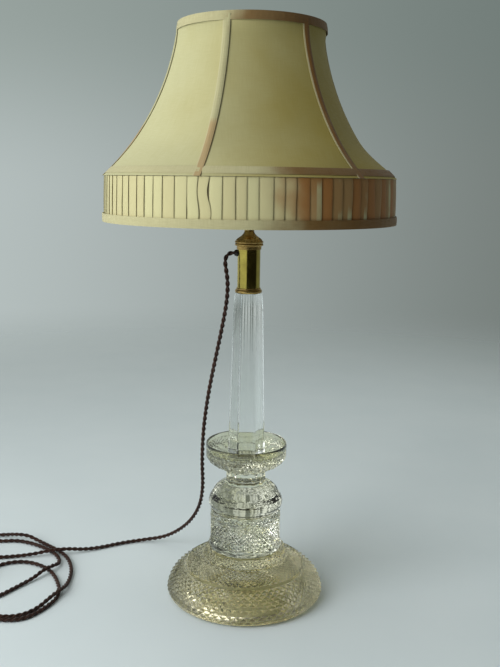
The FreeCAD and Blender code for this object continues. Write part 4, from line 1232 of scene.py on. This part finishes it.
@dataclass
class GlassStem:
    """The five glass sections, from the foot up to the column, and what joins them."""

    foot_z: float = 1.5
    drum_z: float = 72.6
    shoulder_z: float = 131.2
    dish_z: float = 190.6
    column_z: float = 213.6
    tube_z: float = 447.6
    facets: float = 7.0            # degrees; cut edges sharper than this stay crisp

    def build(self) -> None:
        """Makes each section."""
        self.foot()
        self.drum()
        self.shoulder()
        self.dish()
        self.column()
        self.joints()
        self.pad()

    @staticmethod
    def carve(angles: np.ndarray, *parts: Rows | tuple[Rows, Cut, float]
              ) -> tuple[np.ndarray, np.ndarray]:
        """Joins the parts of a section and works out how deep each point is cut.

        Diamonds are sunk where row plus column is even, and ribs where the column is odd.

        Args:
            angles: one column for each.
            *parts: rows of (radius, height), alone if plain, or with their cut and its depth.

        Returns:
            The section's rows, and the depths, rows by columns.
        """
        full = [part if isinstance(part, tuple) else (part, Cut.PLAIN, 0.0) for part in parts]
        section = np.concatenate([rows for rows, _, _ in full])
        deep = np.array([depth for rows, _, depth in full for _ in rows])[:, None]
        ribbed = np.array([kind is Cut.RIBS for rows, kind, _ in full for _ in rows])[:, None]
        row, column = np.arange(len(section))[:, None], np.arange(len(angles))
        return section, deep * np.where(ribbed, column % 2 == 1, (row + column) % 2 == 0)

    def finish(self, name: str, section: np.ndarray, cut: np.ndarray, angles: np.ndarray,
               base: float, glass: Finish, node: str, ground: np.ndarray,
               plan: np.ndarray | float = 1.0) -> None:
        """Turns a section with its cutting and fits the piece.

        Args:
            name: the piece's name.
            section: (radius, height) rows.
            cut: how deep each point is cut, rows by columns.
            angles: one column for each.
            base: height of the section's zero.
            glass: its finish.
            node: the CAD node it replaces.
            ground: how matt each point is, rows by columns.
            plan: share of the radius kept at each point.
        """
        skin = Skin()
        skin.grid(turned(section, angles, base, cut, plan), section_uv(section, angles),
                  crossed=True, ground=ground)
        fit(skin.piece(name, crease=self.facets), glass, "lamp", "cut_glass", node)

    def foot(self) -> None:
        """The domed foot: two fields of relief diamonds, a plain ring and a ten-sided collar."""
        angles = circle(120)
        t = np.linspace(0.0, math.pi / 2, 12)
        hollow = list(zip(90.0 * np.sin(t), 37.0 * np.cos(t)))
        rim = [(90.6, 0), (107.4, 0), (110.2, 0.7), (112.2, 2.3), (113.8, 4.8)]
        low = even_rows([(115, 8.5), (113.9, 14), (111.2, 21.5), (106.5, 28.5), (99, 35.6),
                         (90.2, 41.6)], 9)
        ring = [(89.4, 42.3), (88.2, 42.7), (86.6, 43.9), (86, 44.2)]
        high = even_rows([(85.2, 44.6), (77, 48.5), (70.5, 52.2), (65.6, 55.6)], 8)
        edge = [(64.6, 56.2), (64.4, 57.4), (63.4, 57.9)]
        collar = even_rows([(62.6, 58.6), (60.6, 64.2), (58.8, 69.4)], 4)
        seat = [(58, 70.5), (30, 70.5), (0, 70.5)]
        section, cut = self.carve(
            angles, hollow, rim, (low[:1], Cut.DIAMONDS, 0.9), (low[1:-1], Cut.DIAMONDS, 2.3),
            (low[-1:], Cut.DIAMONDS, 0.8), ring, (high, Cut.DIAMONDS, 1.8), edge,
            (collar, Cut.DIAMONDS, 1.3), seat)
        ten_sided = smooth_step(section[:, 1:], 55.4, 56.4)
        plan = 1.0 + ten_sided * (polygon_plan(angles, 10, math.radians(9.0)) - 1.0)
        row = np.arange(len(section))[:, None]
        under = np.select([row < len(hollow), row < len(hollow) + 4], [0.62, 0.85], 0.0)
        self.finish("glass_foot_cut", section, cut, angles, self.foot_z, Glass.FOOT, "glass_foot",
                    np.maximum(under, cut / 2.6), plan)

    def drum(self) -> None:
        """The drum: a plain ring, a lozenge field of fine diamonds and a band of ribs."""
        angles = circle(96)
        base = [(0, 0), (30, 0), (51.6, 0), (52.7, 0.7), (53, 2), (53, 5.6), (52.6, 6.9),
                (51.4, 7.6), (50.6, 8.1)]
        field = upright(51.2, 8.8, 45.0, 12)
        bead = [(50.7, 45.6), (51.3, 46.2), (51.4, 47), (50.7, 47.7)]
        ribs = upright(51.0, 48.2, 55.4, 6)
        top = [(50.6, 56.2), (50.2, 57.2), (49.2, 58), (30, 58), (0, 58)]
        section, cut = self.carve(angles, base, (field, Cut.DIAMONDS, 1.7), bead,
                                  (ribs, Cut.RIBS, 0.9), top)
        height = section[:, 1:]
        up = np.abs((height - 26.8) / 18.2)
        lozenge = 0.75 + 0.5 * smooth_step(1.0 - zigzag(angles, 8, 0.2) - up * 0.9, -0.05, 0.05)
        cut = cut * np.where((height > 8.4) & (height < 45.2), lozenge, 1.0)
        self.finish("glass_drum_cut", section, cut, angles, self.drum_z, Glass.DRUM,
                    "glass_drum", cut / 2.6)

    def shoulder(self) -> None:
        """The shoulder: cut belly panels, a groove, ribbed arches and a broadly fluted neck."""
        angles = circle(96)
        base = [(0, 0), (30, 0), (48.6, 0)]
        belly = even_rows([(49.6, 0.6), (52.6, 4.6), (54, 10.8), (52.2, 17.6), (48.8, 22.8)], 8)
        groove = [(47.9, 23.8), (45.9, 24.6), (45.7, 25.2), (46.9, 26.2)]
        tier = even_rows([(46.6, 27.2), (43.9, 30.8), (40.6, 33.6), (36.6, 35.8)], 8)
        neck = through([(33.4, 37.2), (29.8, 39.6), (28.6, 43.5), (28.3, 50), (28.6, 56.6)], 5)
        top = [(28.3, 57.6), (27.6, 58.8), (14, 58.8), (0, 58.8)]
        section, cut = self.carve(angles, base, (belly, Cut.DIAMONDS, 0.12), groove,
                                  (tier, Cut.RIBS, 0.4), neck.tolist(), top)
        height = section[:, 1:]
        panel = zigzag(angles, 6)
        arch = smooth_step(1.0 - panel ** 2 - ((height - 27.0) / 10.5) ** 2, -0.04, 0.04)
        cut = cut * np.where(height < 23.2, smooth_step(panel, 0.25, 0.32), arch)
        flute = 1.0 - smooth_step(zigzag(angles, 12), 0.0, 0.8)
        sunk = smooth_step(height, 33.0, 39.0) * (1 - smooth_step(height, 56.5, 58.5))
        cut = cut + 1.8 * flute * sunk
        self.finish("glass_shoulder_cut", section, cut, angles, self.shoulder_z, Glass.DRUM,
                    "glass_shoulder", cut / 0.5 * (height < 36.5))

    def dish(self) -> None:
        """The drip dish: prisms under it, fine diamonds round its wall and a rounded rim."""
        angles = circle(96)
        seat = [(0, 0), (16, 0), (31, 0), (32, 0.8)]
        under = even_rows([(33.6, 1.8), (40, 4.2), (48, 8), (54.2, 12.8), (57.4, 17.6)], 8)
        wall = upright(58.1, 19.2, 31.0, 5)
        rim = through([(58.3, 32.4), (58.4, 35.5), (57.9, 38.4), (57, 39.4), (56, 38.7),
                       (55.4, 36)], 3)
        bowl = through([(55.1, 33), (54.3, 27.6), (51.2, 24), (46, 22.5)], 4)
        floor = [(30, 22.4), (0, 22.4)]
        section, cut = self.carve(angles, seat, (under, Cut.DIAMONDS, 0.45),
                                  (wall, Cut.DIAMONDS, 0.6), rim, bowl, floor)
        height, radius = section[:, 1:], section[:, :1]
        outside = (height < 18.5) & (radius > 33.0)
        cut = cut + 1.2 * zigzag(angles, 24) * smooth_step(radius, 34.0, 44.0) * outside
        self.finish("drip_dish_cut", section, cut, angles, self.dish_z, Glass.DISH, "drip_dish",
                    cut / 1.6)

    def column(self) -> None:
        """The six-sided column, with the faint steps that hand grinding left along its flats."""
        angles = circle(192)
        foot = [(0, 0), (13, 0), (25.6, 0), (26.4, 0.8)]
        h = np.linspace(1.8, 209.4, 48)
        steps = sum(0.07 * np.exp(-((h - at) / 9.0) ** 2) for at in (56.0, 106.0, 161.0))
        shaft = np.stack([26.5 - 5.5 * h / 209.4 + steps, h], -1)
        head = through([(20.9, 213), (20.6, 219), (20, 225.5), (19.3, 231), (19, 233)], 3)
        top = [(18.4, 233.4), (9, 233.4), (0, 233.4)]
        section = np.concatenate([foot, shaft, head, top])
        ripple = 0.005 * np.cos(18 * angles + 1.0) + 0.003 * np.cos(30 * angles)
        plan = (0.01 + 0.99 * polygon_plan(angles, 6, 0.0)) * (0.992 + ripple)
        skin = Skin()
        skin.grid(turned(section, angles, self.column_z, 0.0, plan), section_uv(section, angles))
        fit(skin.piece("glass_column_ground", crease=9.0), Glass.COLUMN, "lamp", "cut_glass",
            "glass_column")

    def joints(self) -> None:
        """Thin discs of clear cement in the gaps between the sections."""
        skin = Skin()
        for radius, top in ((50.0, self.drum_z), (46.0, self.shoulder_z), (26.0, self.dish_z),
                            (23.0, self.column_z), (15.5, self.tube_z)):
            section = np.array([(0.0, -0.5), (radius - 0.2, -0.5), (radius, -0.3),
                                (radius - 0.2, -0.1), (0.0, -0.1)])
            skin.grid(turned(section, circle(72), top))
        fit(skin.piece("clear_cement_discs"), Glass.CEMENT, "lamp", "clear_cement",
            "cement_layers")

    @staticmethod
    def pad() -> None:
        """The baize ring under the foot."""
        section = np.array([(91.0, 0.1), (90.6, 0.7), (91.0, 1.4), (107.2, 1.4), (107.8, 0.7),
                            (107.2, 0.1), (91.0, 0.1)])
        skin = Skin()
        skin.grid(turned(section, circle(120), 0.0))
        pad = fit(skin.piece("baize_ring"), Moulded.BAIZE, "lamp", "baize", "baize_pad")


# ---- Shade ------------------------------------------------------------------------------

@dataclass
class Shade:
    """The bell shade: six silk gores, its lining, a knife-pleated band, tapes and trims."""

    low: tuple[float, float] = (198.0, 605.7)      # radius and height at the gores' lower edge
    top: tuple[float, float] = (98.0, 803.7)
    sag: float = 19.5
    slope: float = 227.0           # length of the cloth from edge to edge
    gores: int = 6
    first: float = -108.0          # degrees from +X
    gap: float = 0.3               # degrees between two gores, under a tape
    flatness: float = 0.55         # 0 for a round shade, 1 for flat sides
    silk: float = 0.8              # thickness
    lining_inset: float = 5.2
    lining_wall: float = 0.6
    tape_half: float = 5.25        # half its width
    hem: float = 199.1             # radius of the bottom hoop's cloth
    pleats: int = 84
    pleat_wall: float = 0.35
    band_low: float = 546.7
    band_height: float = 58.5
    seed: int = 11

    def bell(self, share: np.ndarray) -> np.ndarray:
        """The bell's section: an arc that dips inwards by sag from the straight line.

        Its radius is (half chord² + sag²) over 2·sag, and share runs evenly along it.

        Args:
            share: how far up the bell, 0 to 1.

        Returns:
            Rows of (radius, height).
        """
        low, top = np.array(self.low), np.array(self.top)
        chord = np.linalg.norm(top - low)
        along = (top - low) / chord
        out = np.array([along[1], -along[0]])
        radius = (chord ** 2 / 4 + self.sag ** 2) / (2 * self.sag)
        centre = (low + top) / 2 + out * (radius - self.sag)
        swing = (math.asin(chord / 2 / radius) * (2 * share - 1))[:, None]
        return centre - radius * np.cos(swing) * out + radius * np.sin(swing) * along

    def cloth(self, share: np.ndarray, angles: np.ndarray, out: np.ndarray | float) -> np.ndarray:
        """Points on the bell, pulled partly straight between two ribs, but not at the hoops.

        Args:
            share: how far up the bell each row is, 0 to 1.
            angles: one for each column, or for each point.
            out: how far outside the silk each point is.

        Returns:
            Rows by columns by 3.
        """
        section = self.bell(share)
        flat = self.flatness * smooth_step(share, 0.0, 0.30) * (1.0 - smooth_step(share, 0.86, 1.0))
        six = polygon_plan(angles, self.gores, math.radians(self.first))
        radius = section[:, :1] * (1.0 + flat[:, None] * (six - 1.0)) + out
        return round_axis(radius, angles, section[:, 1:])

    def build(self) -> None:
        """Makes every cloth piece of the shade."""
        tapes = [self.tape(k) for k in range(self.gores)]
        for k in range(self.gores):
            self.gore(k, tapes[k])
        self.lining(self.trim("top_trim", self.top[0], Cloth.TOP_TRIM))
        self.band([self.trim("band_trim", self.low[0], Cloth.TRIM),
                   self.trim("bottom_trim", self.hem, Cloth.TRIM, upright=True)])

    def gore(self, k: int, tape: Piece) -> None:
        """One silk gore, from rib to rib, with the tape over its first rib.

        Args:
            k: which gore, from 0.
            tape: not used.
        """
        part = 360.0 / self.gores
        edge = self.gap / 2
        angles = np.radians(self.first + part * k + np.linspace(edge, part - edge, 41))
        share = np.linspace(0.0, 1.0, 57)
        across = (angles - angles.mean()) * self.bell(share)[:, :1]
        uv = np.stack(np.broadcast_arrays(across, (share * self.slope)[:, None]), -1)
        skin = Skin()
        skin.wall(self.cloth(share, angles, 0.0), self.cloth(share, angles, -self.silk), uv)
        gore = fit(skin.piece(f"silk_gore_{k + 1}", crease=50.0), Cloth.SILK, "shade", "silk",
                   f"silk_panel_{k + 1}")

    def lining(self, trim: Piece) -> None:
        """The pale lining inside the gores.

        Args:
            trim: not used.
        """
        angles = circle(180) + math.radians(self.first)
        share = np.linspace(0.004, 0.996, 40)
        uv = np.stack(np.meshgrid(angles * 150.0, share * self.slope), -1)
        skin = Skin()
        skin.wall(self.cloth(share, angles, -self.lining_inset),
                  self.cloth(share, angles, -self.lining_inset - self.lining_wall), uv, hoop=True)
        lining = fit(skin.piece("shade_lining_cloth", crease=50.0), Cloth.LINING, "shade",
                     "lining", "shade_lining")

    def tape(self, k: int) -> Piece:
        """The tape over one rib: crowned, with one side folded over the other.

        Args:
            k: which rib, from 0.

        Returns:
            The tape.
        """
        share = np.linspace(0.0, 0.985, 60)
        across = np.linspace(-self.tape_half, self.tape_half, 13)
        rib = math.radians(self.first + 360.0 / self.gores * k)
        angles = rib + across / self.bell(share)[:, :1]
        crown = 0.35 * (1.0 - (across / self.tape_half) ** 4)
        fold = 0.35 * smooth_step(across, 1.4, 1.9)
        clear = 0.12
        uv = np.stack(np.meshgrid(across + self.tape_half, share * self.slope), -1)
        skin = Skin()
        skin.wall(self.cloth(share, angles, clear + 0.45 + crown + fold),
                  self.cloth(share, angles, clear), uv)
        piece = skin.piece(f"rib_tape_{k + 1}", crease=35.0)
        return fit(piece, Cloth.TAPE, "shade", "braid", *(["rib_tapes"] if k == 0 else []))

    def trim(self, node: str, hoop: float, finish: Finish, upright: bool = False) -> Piece:
        """A folded tape round the shade, in the room its node has.

        Its section is a shallow curve with a stitch line 0.25 mm deep near each edge.

        Args:
            node: the CAD node it replaces.
            hoop: the radius of the hoop under it.
            finish: its finish.
            upright: whether it stands upright, and doesn't lean as the bell does.

        Returns:
            The piece.
        """
        low, high = (corner[2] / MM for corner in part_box(node))
        angles = circle(360)
        v = np.linspace(0.0, 1.0, 17)[:, None]
        height = low + (high - low) * v
        section = self.bell(np.linspace(0.0, 1.0, 200))
        body = 0.05 + (hoop if upright else np.interp(height, section[:, 1], section[:, 0]))
        stitches = sum(np.exp(-((v - at) / 0.03) ** 2) for at in (0.16, 0.84))
        wave = 0.12 * np.sin(angles * 90.0) * np.exp(-((v - 0.5) / 0.3) ** 2)
        out = 0.62 + 0.28 * (1 - (2 * v - 1) ** 4) - 0.25 * stitches + wave
        uv = np.stack(np.broadcast_arrays(angles * (hoop + 0.05), v * 11.0), -1)
        skin = Skin()
        skin.wall(round_axis(body + out, angles, height),
                  round_axis(body, angles, height), uv, hoop=True)
        return fit(skin.piece(f"{node}_tape", crease=50.0), finish, "shade", "braid", node)

    def band(self, trims: list[Piece]) -> None:
        """The knife-pleated band, between its two trims.

        Along each pleat the cloth runs outwards past the next fold, then doubles back under
        it: the angle is the pleat's start plus its width times (1.12·p up to the fold, then
        back), and the radius rises by the pleat's depth and falls again behind it.  Pleats
        right of the middle hang loose, and a few left of it are bunched.

        Args:
            trims: not used.
        """
        rng = np.random.default_rng(self.seed)
        width = 1.0 + rng.uniform(-0.12, 0.12, self.pleats)
        start = np.concatenate([[0.0], np.cumsum(width)])
        start = start / start[-1] * FULL_TURN
        step = np.diff(start)
        middle = start[:-1] + step / 2 + math.radians(self.first)
        front = (middle + 1.5 * math.pi) % FULL_TURN - math.pi     # 0 at the front, + to the right
        loose = smooth_step(front, 0.25, 0.5) * (1 - smooth_step(front, 1.15, 1.45))
        slant = rng.normal(0.0, 0.05, self.pleats) + loose * rng.normal(0.1, 0.30, self.pleats)
        bunch = 0.25 * np.exp(-((front + 0.30) / 0.05) ** 2)
        deep = 1.7 + rng.uniform(-0.25, 0.25, self.pleats) + 0.5 * loose
        p = np.array([0.0, 0.12, 0.3, 0.5, 0.7, 0.86, 0.93, 0.965, 1.0])
        ahead = np.array([0.0, 0.14, 0.36, 0.60, 0.84, 1.04, 1.10, 1.08, 1.0])
        rise = np.array([0.0, 0.35, 0.62, 0.80, 0.93, 1.0, 0.93, 0.55, 0.0])
        rows = 15
        v = np.linspace(0.0, 1.0, rows)[:, None, None]
        belly = np.sin(math.pi * v)
        shift = slant[:, None] * (v - 0.5) + bunch[:, None] * np.sin(FULL_TURN * v)
        angle = start[:-1, None] + step[:, None] * (ahead + shift * belly ** 0.5)
        radius = self.hem - 1.1 * v - 2.6 + deep[:, None] * rise * (0.75 + 0.25 * belly)
        angle, radius = angle.reshape(rows, -1), radius.reshape(rows, -1)
        angle = np.c_[angle, angle[:, :1] + FULL_TURN] + math.radians(self.first)
        radius = np.c_[radius, radius[:, :1]]
        up = v[:, :, 0] * self.band_height
        count = np.append(np.arange(self.pleats)[:, None] + p * 0.999, self.pleats)
        skin = Skin()
        skin.wall(round_axis(radius, angle, self.band_low + up),
                  round_axis(radius - self.pleat_wall, angle, self.band_low + up),
                  np.stack(np.meshgrid(count, up), -1), hoop=True)
        band = fit(skin.piece("pleated_band_cloth", crease=55.0), Cloth.PLEATS, "shade",
                   "pleated_silk", "pleated_band")


# ---- Metalwork, holder and bulb ---------------------------------------------------------

@dataclass
class Fittings:
    """The brass on top of the column, turned crisply, and the pieces kept as they are."""

    tube_z: float = 447.6
    tube_h: float = 62.0
    tube_r: float = 16.0
    cap_z: float = 508.1
    kept = (
        (Metal.BRASS, "finial_knob push_bar"),
        (Metal.OLD_BRASS, "holder_cap holder_shell lower_shade_ring upper_shade_ring "
                          "threaded_nipple lock_nut bayonet_sleeve plunger_left plunger_right "
                          "carrier_boss gimbal_ring spider_ring"),
        (Metal.STEEL, "plunger_spring_left plunger_spring_right"),
        (Metal.FRAME, "carrier_ring carrier_arms spider_arms frame_top_ring frame_band_ring "
                      "frame_bottom_ring frame_ribs frame_struts"),
        (Metal.CAP, "bulb_cap"),
        (Metal.TUNGSTEN, "bulb_filament"),
        (Moulded.CERAMIC, "holder_core"),
        (Moulded.BUSH, "cord_bush"),
        (Moulded.LEAD, "holder_leads"),
        (Moulded.BASE, "bulb_base"),
        (Glass.BULB, "bulb_glass bulb_stem"),
    )

    @staticmethod
    def lathe(name: str, loop: Rows, base: float, metal: Finish, node: str) -> None:
        """Turns a closed loop of (radius, height) and fits it in place of a node.

        Args:
            name: the piece's name.
            loop: the section, in order round it.
            base: height of its zero.
            metal: its finish.
            node: the CAD node it replaces.
        """
        section, angles = np.array([*loop, loop[0]], float), circle(96)
        skin = Skin()
        skin.grid(turned(section, angles, base), section_uv(section, angles))
        fit(skin.piece(name, crease=24.0), metal, "lamp", "brass", node)

    @staticmethod
    def bead(radius: float, low: float, high: float, rise: float) -> Rows:
        """Half round from low to high: radius + rise·sin of the share of the half turn.

        Args:
            radius: where it starts and ends.
            low: its lowest height.
            high: its highest.
            rise: how far it stands out.

        Returns:
            Its points.
        """
        t = np.linspace(0.0, math.pi, 9)
        return list(zip(radius + rise * np.sin(t), low + (high - low) * (1 - np.cos(t)) / 2))

    def build(self) -> None:
        """Makes the candle tube, ferrule and cap, and dresses every other fitting."""
        r, inner, top = self.tube_r, self.tube_r - 0.8, self.tube_h
        self.lathe("candle_tube_turned", [(inner, 0), (r, 0), (r, top), (inner, top)],
                   self.tube_z, Metal.BRASS, "candle_tube")
        self.lathe("ferrule_turned", [
            (16.05, 0), *self.bead(18.0, 0.1, 4.3, 0.95), (17.2, 4.8), (17, 6.6), (16.6, 7),
            (16.05, 7)], self.tube_z, Metal.OLD_BRASS, "ferrule_ring")
        bell = through([(18, 13), (15.6, 15.2), (12, 17.6), (9, 20.4), (7.2, 23.2), (6.6, 26)], 4)
        self.lathe("belled_cap", [
            (16.05, 0), (17.2, 0), (17.2, 4.4), *self.bead(18.5, 4.9, 8.1, 1.4),
            *self.bead(18.5, 8.5, 11.7, 1.4), *bell.tolist(), (6.6, 40), (5.05, 40), (5.05, 15),
            (9.4, 15), (9.4, 11), (13.6, 11), (13.6, 1.5), (16.05, 1.5)],
            self.cap_z, Metal.OLD_BRASS, "brass_cap")
        for finish, nodes in self.kept:
            keep(finish, *nodes.split())


def main() -> None:
    """Builds the studio and the lamp, from the flex up."""
    Studio().build()
    Flex().build()
    GlassStem().build()
    Fittings().build()
    Shade().build()


if __name__ == "__main__":
    main()
